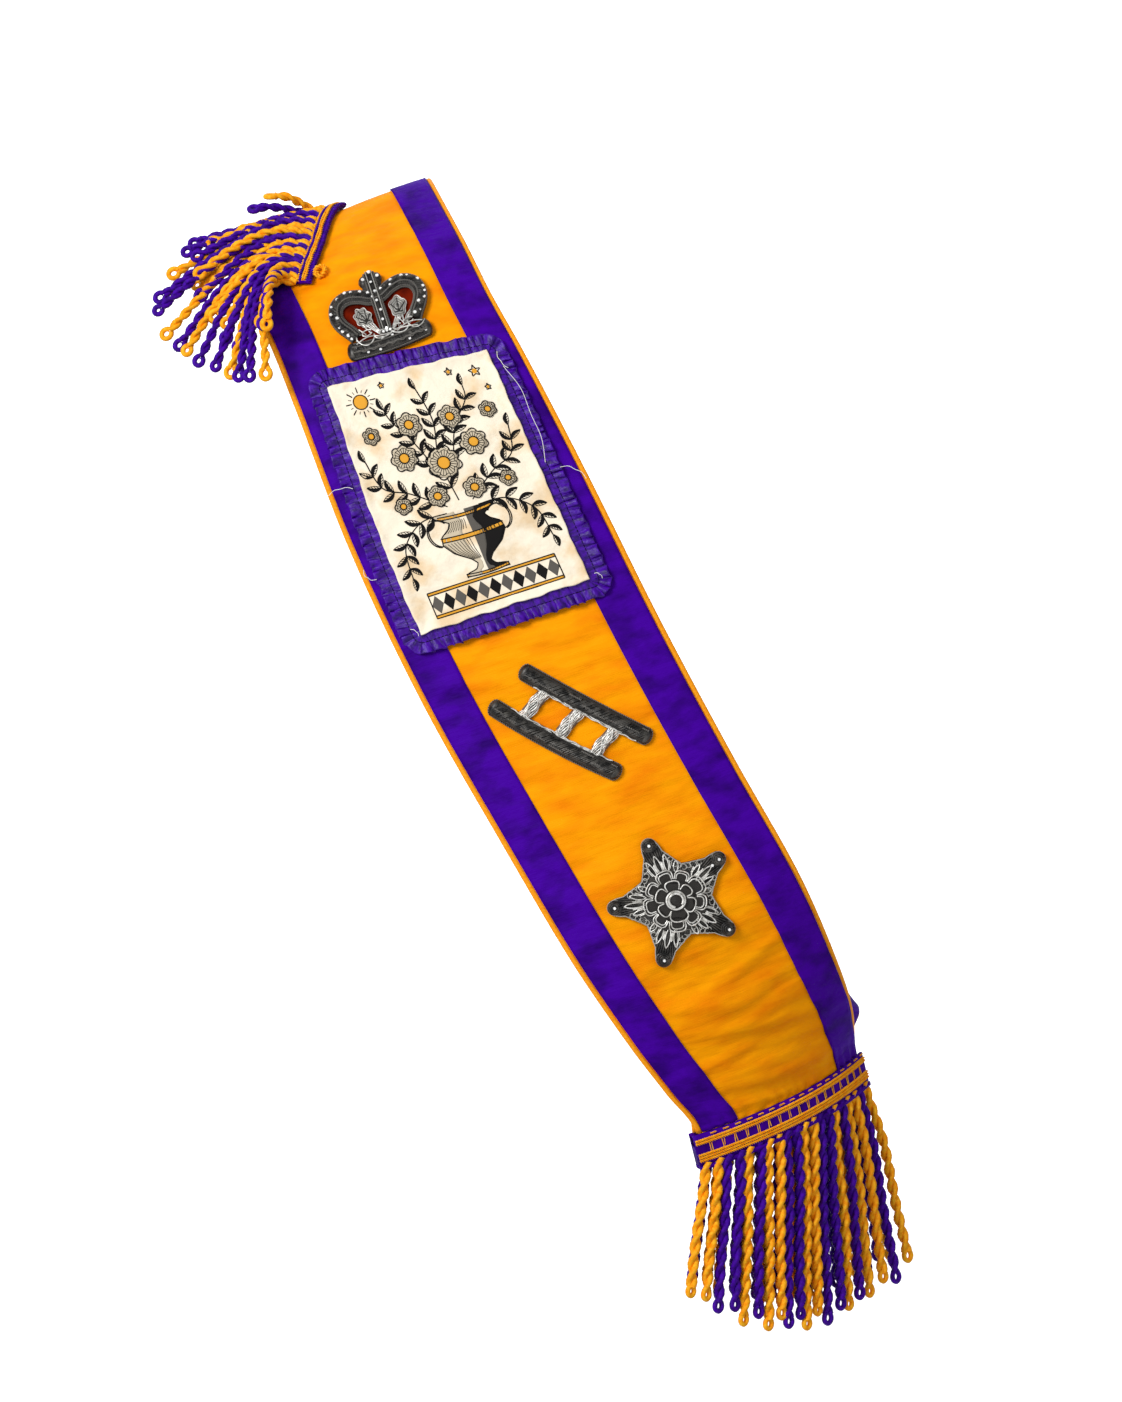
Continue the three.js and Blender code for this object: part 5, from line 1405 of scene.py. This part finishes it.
ringLines = [starCircle(5.6, innerTop + 1.6), starCircle(4.3, innerTop + 2.6, -150, 150)]
tips, rims = [], []
for point in range(star["points"]):
    bearing = math.radians(72 * point)
    middle = np.array([math.sin(bearing), math.cos(bearing)])
    x, y = middle * star["studReach"]
    tips.append((x, y, badgeBase + star["padding"] + 2.4))
    if point == 1:
        tips.append((*(middle * (star["studReach"] - 5.5)), badgeBase + star["padding"] + 1.6))
    for radius, height in ((3.9, 0.5), (3.2, 1.6), (2.2, 2.4), (1.1, 2.9), (0.3, 3.1)):
        rims.append(starPlace(*arcLine((x, y), radius, radius, 0, 352, 30).T, starTop - 1.2 + height))
    outward = 90 - 72 * point
    collar = arcLine((x, y), 4.5, 4.5, outward - 128, outward + 128, 34)
    greyLines.append(starPlace(*collar.T, starTop - 0.9))
tips = np.array(tips)
pins = sewnSpangles("starPins", starPlace(*tips.T), facingOf(starPlace, tips[:, 0], tips[:, 1]), 0.9, 5,
                    unevenness=0.15)
dark = laidThreads("starThreads", darkLines, 0.6, bullionMaterial, step=1.6, sides=5)
studs = laidThreads("starStuds", rims, 0.85, bullionMaterial, step=1.1, sides=6)
edgeCords = laidThreads("starEdges", greyLines, 0.36, greyEdgeMaterial, step=0.6, sides=5)
ridden(joined("star_dark_threads", [dark, studs, edgeCords]))
fineWires = laidThreads("starFineWires", silverLines, 0.4, silverMaterial, step=0.6, sides=5)
petalWires = laidThreads("starPetals", heavyLines, 0.44, silverMaterial, step=0.6, sides=5)
ringWires = laidThreads("starRings", ringLines, 0.8, silverMaterial, step=0.8, sides=6)
ridden(joined("star_silver_wires", [fineWires, petalWires, ringWires, pins]))
repaint(darkCordMaterial, "star_plate", "star_rosette_outer", "star_rosette_inner", "star_centre_bead")
print("star made")


# Picture panel, printed with a plain design of an urn of flowers under a sun
panel = {"width": 106, "height": 160, "thickness": 0.9, "rows": 170, "columns": 120,
         "edgeWave": 0.32, "edgeRise": 1.9}
topArm, topNeck = np.array([0.2255, -0.335]), np.array([0.2315, 0.352])
footNeck, footArm = np.array([0.4635, 0.32]), np.array([0.4635, -0.372])


# Shares along and across the front, from shares to the right and down the panel
def panelPlace(right, down):
    right, down = np.asarray(right, float)[..., None], np.asarray(down, float)[..., None]
    top = topArm + (topNeck - topArm) * right
    foot = footArm + (footNeck - footArm) * right
    return top + (foot - top) * down


def onPanel(right, down, height):
    place = panelPlace(right, down)
    return onBand(place[..., 0] * frontLength, place[..., 1], coverBase + height)


# The cloth lies in soft wrinkles, and its edge rises over the ruffle
def panelLift(right, down):
    fromSide = np.minimum(right, 1 - right) * panel["width"]
    inward = np.minimum(fromSide, np.minimum(down, 1 - down) * panel["height"])
    rise = panel["edgeRise"] * np.exp(-(np.maximum(inward, 0) / 4) ** 2)
    wrinkles = (0.42 * np.sin(right * 9 + down * 5) * np.sin(down * 14 + 1 + 2 * right)
                + 0.3 * np.sin(right * 24 - down * 7) * np.sin(down * 6 + 2)
                + 0.22 * np.sin(right * 13 + down * 37 + 2 * np.sin(right * 6)))
    return wrinkles * (1 - 0.5 * rise / panel["edgeRise"]) + 0.75 + rise


# x and y are millimetres from the panel's middle, y up
def onPicture(x, y, lift=0.0):
    right, down = 0.5 + np.asarray(x, float) / panel["width"], 0.5 - np.asarray(y, float) / panel["height"]
    return onPanel(right, down, panel["thickness"] + panelLift(right, down) + lift)


right, down = np.meshgrid(np.linspace(0, 1, panel["columns"]), np.linspace(0, 1, panel["rows"]))
edgeShare = panel["edgeWave"] / panel["width"]
waveRight = np.sin(down * 31 + 4 * right) + 0.5 * np.sin(down * 83)
waveDown = np.sin(right * 27 + 2 * down) + 0.4 * np.sin(right * 64)
wavyRight = right + edgeShare * waveRight * (2 * right - 1) ** 3
wavyDown = down + edgeShare * waveDown * (2 * down - 1) ** 3
uvs = np.stack([right * panel["width"] / 10, -down * panel["height"] / 10], -1)
under = onPanel(wavyRight, wavyDown, panelLift(right, down))
over = onPanel(wavyRight, wavyDown, panel["thickness"] + panelLift(right, down))
panelCloth = closedSheet("picture_panel_cloth", under, over, uvs, linenMaterial, "cream_linen")
ridden(panelCloth, "picture_panel")
printed = {"fine": [], "bold": [], "fills": []}


def inked(weight, x, y, lift=0.06):
    printed[weight].append(onPicture(x, y, lift))


# A printed area between two lines
def tinted(sideA, sideB, material, lift=0.0):
    sideA, sideB = np.asarray(sideA, float), np.asarray(sideB, float)
    grid = sideA[:, None] + (sideB - sideA)[:, None] * np.linspace(0, 1, 6)[None, :, None]
    x, y = grid[..., 0], grid[..., 1]
    printed["fills"].append(closedSheet(
        "printFill", onPicture(x, y, -0.4), onPicture(x, y, 0.09 + lift), grid, material, "cream_linen"))


def tintedRound(x, y, radius, material, lift=0.0):
    part = np.linspace(-0.98, 0.98, 13)
    half = radius * np.sqrt(1 - part ** 2)
    rows = y + part * radius
    tinted(np.stack([x - half, rows], -1), np.stack([x + half, rows], -1), material, lift)


def inkedRound(weight, x, y, radius):
    ring = arcLine((x, y), radius, radius, 0, 360, 36)
    inked(weight, ring[:, 0], ring[:, 1])


# A leaf: one half dark, the other veined
def printedLeaf(x, y, length, bearing, fat):
    ahead = np.array([math.cos(math.radians(bearing)), math.sin(math.radians(bearing))])
    aside = np.array([-ahead[1], ahead[0]])
    t = np.linspace(0, 1, 12)[:, None]
    rib = np.array([x, y]) + ahead * length * t + aside * 0.08 * length * np.sin(math.pi * t)
    swell = aside * np.sin(math.pi * t) ** 0.85 * length * fat
    for sign in (-1, 1):
        inked("bold" if sign > 0 else "fine", *(rib + sign * swell).T)
    inked("bold", *rib.T)
    tinted(rib[1:-1], (rib + 0.9 * swell)[1:-1], inkMaterial)
    for k in range(2, 10, 2):
        inked("fine", *np.linspace(rib[k], (rib - 0.85 * swell)[min(k + 2, 11)], 3).T)


# Urn: half width at each share of its height
urn = {"foot": -56, "height": 42}
urnProfile = {
    "share": (0, 0.06, 0.09, 0.17, 0.25, 0.4, 0.56, 0.68, 0.77, 0.85, 0.91, 0.96, 1),
    "half": (13, 13, 6, 4, 6.5, 15, 19.5, 18.5, 13, 11, 15, 18.5, 19),
}
up = np.linspace(0, 1, 60)
half = np.interp(up, urnProfile["share"], urnProfile["half"])
urnY = urn["foot"] + up * urn["height"]
for low, high, material in ((-1, -0.3, paleWashMaterial), (0.35, 1, inkMaterial), (0.02, 0.35, washMaterial)):
    tinted(np.stack([half * low, urnY], -1), np.stack([half * high, urnY], -1), material)
for sign in (-1, 1):
    inked("bold", sign * half, urnY)
    handle = arcLine((sign * 19, urn["foot"] + 0.74 * urn["height"]), 7, 8.5, -80, 140, 26)
    handleX = handle[:, 0] if sign > 0 else -38 - handle[:, 0]
    inked("bold", handleX, handle[:, 1])
    inked("bold", handleX * 0.96, handle[:, 1] + 0.3)
for share, tall in ((0.02, 1.6), (0.6, 2.6), (0.93, 1.8)):
    width = np.interp(share, up, half) + 0.3
    x = np.linspace(-width, width, 24)
    low = urn["foot"] + share * urn["height"] - 1.2 * (1 - (x / width) ** 2)
    tinted(np.stack([x, low], -1), np.stack([x, low + tall], -1), ochreMaterial)
    inked("bold", x, low)
    inked("bold", x, low + tall)
for k in range(9):
    part = -0.95 + 0.1 * k
    inked("fine", half[14:34] * part, urnY[14:34])
    inked("fine", half[42:52] * part, urnY[42:52])


# Sprigs, with leaves in pairs along a bent stem
sprigs = {
    "leftLow": [(-10, -14), (-27, -15), (-41, -27), (-44, -46)],
    "rightLow": [(10, -14), (27, -15), (41, -27), (44, -46)],
    "leftHigh": [(-8, -10), (-26, 4), (-41, 12), (-46, 30)],
    "rightHigh": [(8, -10), (26, 4), (41, 12), (46, 30)],
    "middle": [(0, -8), (-2, 20), (3, 44), (0, 66)],
    "leftTop": [(-4, 10), (-14, 36), (-22, 50), (-24, 58)],
    "rightTop": [(4, 10), (14, 36), (27, 52), (29, 62)],
}
for points in sprigs.values():
    stem = splineThrough(points, 60)
    inked("bold", stem[:, 0], stem[:, 1])
    reach = np.concatenate([[0], np.cumsum(np.linalg.norm(np.diff(stem, axis=0), axis=1))])
    for at in np.arange(9, reach[-1] - 2, 8.0):
        x, y = np.interp(at, reach, stem[:, 0]), np.interp(at, reach, stem[:, 1])
        ahead = np.interp(at + 1, reach, stem[:, 0]) - x, np.interp(at + 1, reach, stem[:, 1]) - y
        bearing = math.degrees(math.atan2(ahead[1], ahead[0]))
        for side in (-1, 1):
            printedLeaf(x, y, 10.5 - 2.5 * at / reach[-1], bearing + side * 48, 0.19)
    printedLeaf(*stem[-1], 8, math.degrees(math.atan2(*(stem[-1] - stem[-4])[::-1])), 0.2)

# Flowers: place, size and number of petals
flowers = {
    "middle": (0, 17, 11, 8), "left": (-22, 26, 8.6, 7), "right": (22, 25, 8.8, 7),
    "leftHigh": (-12, 45, 8, 6),
    "rightHigh": (14, 44, 7.6, 6), "leftLow": (-11, -2, 7, 6), "rightLow": (12, -3, 7.2, 6),
    "leftEdge": (-37, 44, 5.6, 6),
    "rightEdge": (38, 43, 5.6, 6), "leftFoot": (-33, -2, 5.4, 5), "rightFoot": (33, -3, 5.4, 5),
}
for x, y, size, petals in flowers.values():
    angle = np.linspace(0, 2 * math.pi, 90)
    scallop = size * (0.78 + 0.22 * np.abs(np.sin(petals * angle / 2)))
    tintedRound(x, y, size * 0.86, paleWashMaterial, 0.5)
    inked("bold", x + scallop * np.cos(angle), y + scallop * np.sin(angle), 0.6)
    inked("fine", x + 0.76 * scallop * np.cos(angle), y + 0.76 * scallop * np.sin(angle), 0.65)
    tintedRound(x, y, size * 0.36, ochreMaterial, 0.62)
    inked("bold", x + size * 0.36 * np.cos(angle[::3]), y + size * 0.36 * np.sin(angle[::3]), 0.75)
    for k in range(petals * 3):
        bearing = 2 * math.pi * (k + 0.5) / (petals * 3)
        reach = np.linspace(size * 0.4, size * (0.72 if k % 3 else 0.86), 4)
        inked("fine", x + reach * math.cos(bearing), y + reach * math.sin(bearing), 0.65)

# A sun at one side, stars at the other, and a tiled shelf under the urn
sun = {"x": -36, "y": 66, "radius": 4.6, "rays": 16}
tintedRound(sun["x"], sun["y"], sun["radius"], ochreMaterial)
inkedRound("bold", sun["x"], sun["y"], sun["radius"])
for k in range(sun["rays"]):
    bearing = 2 * math.pi * k / sun["rays"]
    reach = np.linspace(sun["radius"] * 1.3, sun["radius"] * (2.1 if k % 2 == 0 else 1.7), 5)
    x, y = sun["x"] + reach * math.cos(bearing), sun["y"] + reach * math.sin(bearing)
    inked("bold" if k % 2 == 0 else "fine", x, y)
stars = {"first": (40, 69, 4.2), "second": (24, 72, 2.8), "third": (44, 57, 2.4), "fourth": (-20, 73, 2.4)}
for x, y, size in stars.values():
    angle = np.radians(90 + 36 * np.arange(11))
    radius = np.where(np.arange(11) % 2 == 0, size, size * 0.42)
    tintedRound(x, y, size * 0.4, ochreMaterial)
    inked("bold", x + radius * np.cos(angle), y + radius * np.sin(angle), 0.15)
shelf = {"half": 40, "top": -57.5, "bottom": -70.5, "tiles": 11}
for y, tall in ((shelf["top"], 1.8), (shelf["bottom"] - 1.8, 1.8)):
    ends = np.linspace(-shelf["half"], shelf["half"], 30)
    tinted(np.stack([ends, np.full(30, y)], -1), np.stack([ends, np.full(30, y - tall)], -1), ochreMaterial)
    inked("bold", ends, np.full(30, y))
    inked("bold", ends, np.full(30, y - tall))
tileWidth = 2 * shelf["half"] / shelf["tiles"]
for k in range(shelf["tiles"]):
    x = -shelf["half"] + tileWidth * (k + 0.5)
    middle = (shelf["top"] - 1.8 + shelf["bottom"]) / 2 - 0.9
    reach = (shelf["top"] - shelf["bottom"]) / 2 - 0.6
    rows = np.linspace(-0.97, 0.97, 9)
    width = tileWidth / 2 * (1 - np.abs(rows))
    tinted(np.stack([x - width, middle + rows * reach], -1), np.stack([x + width, middle + rows * reach], -1),
           inkMaterial if k % 2 else washMaterial)
for sign in (-1, 1):
    inked("bold", np.full(8, sign * shelf["half"]), np.linspace(shelf["top"], shelf["bottom"] - 3.4, 8))
finePrint = laidThreads("fineInkLines", printed["fine"], 0.22, inkMaterial, step=1.4, sides=4)
boldPrint = laidThreads("boldInkLines", printed["bold"], 0.4, inkMaterial, step=1.2, sides=4)
ridden(joined("picture_print", [boldPrint, finePrint] + printed["fills"]))
print("picture made")


# Ruffle round the picture, gathered on a stitched middle, with its inner edge under the picture's
ruffle = {"width": 12.4, "thickness": 0.6, "pleatPitch": 6.4, "lift": 2.9, "step": 0.6, "columns": 17,
          "tuck": 1.8}
cornerPlaces = [tuple(panelPlace(right, down) * [frontLength, bandWidth])
                for right, down in ((0, 0), (1, 0), (1, 1), (0, 1))]
stationAlong, stationAcross, stationAngle = [], [], []
sidePairs = list(zip(cornerPlaces, cornerPlaces[1:] + cornerPlaces[:1]))
sideAngles = [math.atan2(-(b[0] - a[0]), b[1] - a[1]) for a, b in sidePairs]
for k, (a, b) in enumerate(sidePairs):
    count = round(math.hypot(b[0] - a[0], b[1] - a[1]) / ruffle["step"])
    for share in np.arange(1, count) / count:
        stationAlong.append(a[0] + (b[0] - a[0]) * share)
        stationAcross.append(a[1] + (b[1] - a[1]) * share)
        stationAngle.append(sideAngles[k])
    bendBy = (sideAngles[(k + 1) % 4] - sideAngles[k] + math.pi) % (2 * math.pi) - math.pi
    for share in np.linspace(0, 1, 20):
        stationAlong.append(b[0])
        stationAcross.append(b[1])
        stationAngle.append(sideAngles[k] + bendBy * share)
stationAlong, stationAcross, stationAngle = map(np.array, (stationAlong, stationAcross, stationAngle))
stationRun = np.arange(len(stationAlong)) * ruffle["step"]
pleatCount = round(stationRun[-1] / ruffle["pleatPitch"])
turned = 2 * math.pi * stationRun / (stationRun[-1] + ruffle["step"])
phase = pleatCount * turned + 1.5 * np.sin(23 * turned) + 1.1 * np.sin(10 * turned + 1)
phase += 0.8 * np.sin(37 * turned)
uneven = 0.8 + 0.22 * np.sin(31 * turned + 2) + 0.16 * np.sin(47 * turned)


# Knife pleats: each stands up steeply, lies flat, then drops over the next one's foot
def onRuffle(station, part, lift):
    spread = np.abs(2 * part - 1) ** 0.8
    turn = phase[station] + 0.7 * (part - 0.5) + 0.5 * np.sin(3 * part + phase[station] * 0.31)
    wave = 0.5 + 0.5 * np.tanh(2.4 * np.sin(turn)) / math.tanh(2.4)
    angle = stationAngle[station]
    slide = 1.3 * (0.3 + 0.7 * spread) * np.cos(turn + 0.6) * uneven[station]
    reach = part * (ruffle["width"] + ruffle["tuck"]) - ruffle["tuck"]
    reach = reach + np.where(part > 0.5, 1, 0) * (2 * part - 1) * (0.7 * uneven[station] - 1.1 * wave + 0.2)
    along = stationAlong[station] - np.cos(angle) * reach + np.sin(angle) * slide
    across = stationAcross[station] - np.sin(angle) * reach - np.cos(angle) * slide
    stand = 0.25 + np.where(part > 0.5, 0.75, 0.15) * spread
    height = ruffle["lift"] * wave * uneven[station] * stand
    return onBand(along, across / bandWidth, coverBase + 0.1 + lift + height)


station, part = np.meshgrid(np.arange(len(stationAlong)), np.linspace(0, 1, ruffle["columns"]), indexing="ij")
uvs = np.stack([part * ruffle["width"] / 10, stationRun[station] / 10], -1)
ruffleCloth = closedSheet(
    "picture_ruffle_cloth", onRuffle(station, part, 0.0), onRuffle(station, part, ruffle["thickness"]),
    uvs, ruffleMaterial, "purple_ribbon", wrap=True)
ridden(ruffleCloth, "picture_ruffle")
every = np.arange(len(stationAlong))
middle = onRuffle(every, np.full(len(every), 0.5), ruffle["thickness"] + 0.1)
stitches = stitchedLines("ruffleStitches", [middle], 2.6, 1.9, 0.3, darkPurpleMaterial)

# Loose threads, from one place to another as seen from the front, in millimetres, with the bend between them
looseThreads = {
    "rightEdge": (113, -106, 139, -165, 5), "rightFray": (109, -97, 116, -107, -2),
    "rightEnd": (148, -168, 164, -175, 3),
    "leftEnd": (6, -184, 21, -180, 2.5), "leftFoot": (28, -230, 36, -236, -3),
    "rightFoot": (169, -233, 174, -236, 1.5),
    "footLeft": (57, -267, 62, -271, 1.5),
}
looseLines = []
for x1, z1, x2, z2, bendSize in looseThreads.values():
    t = np.linspace(0, 1, 22)
    aside = bendSize * np.sin(math.pi * t) * (1 + 0.25 * np.sin(9 * t))
    length = math.hypot(x2 - x1, z2 - z1)
    x = x1 + (x2 - x1) * t - (z2 - z1) / length * aside
    z = z1 + (z2 - z1) * t + (x2 - x1) / length * aside
    along, across = placeOnFront(x, z, 0.34 * frontLength, 0.0)
    looseLines.append(onBand(along, across, coverBase + 4.4 + 0.5 * np.sin(math.pi * t)))
loose = laidThreads("looseThreads", looseLines, 0.2, whiteThreadMaterial, step=0.8, sides=5)
ridden(joined("picture_stitches", [stitches, loose]))
print("ruffle made")


# Declared cloth
for name, part in lengths.items():
    length = part["length"]
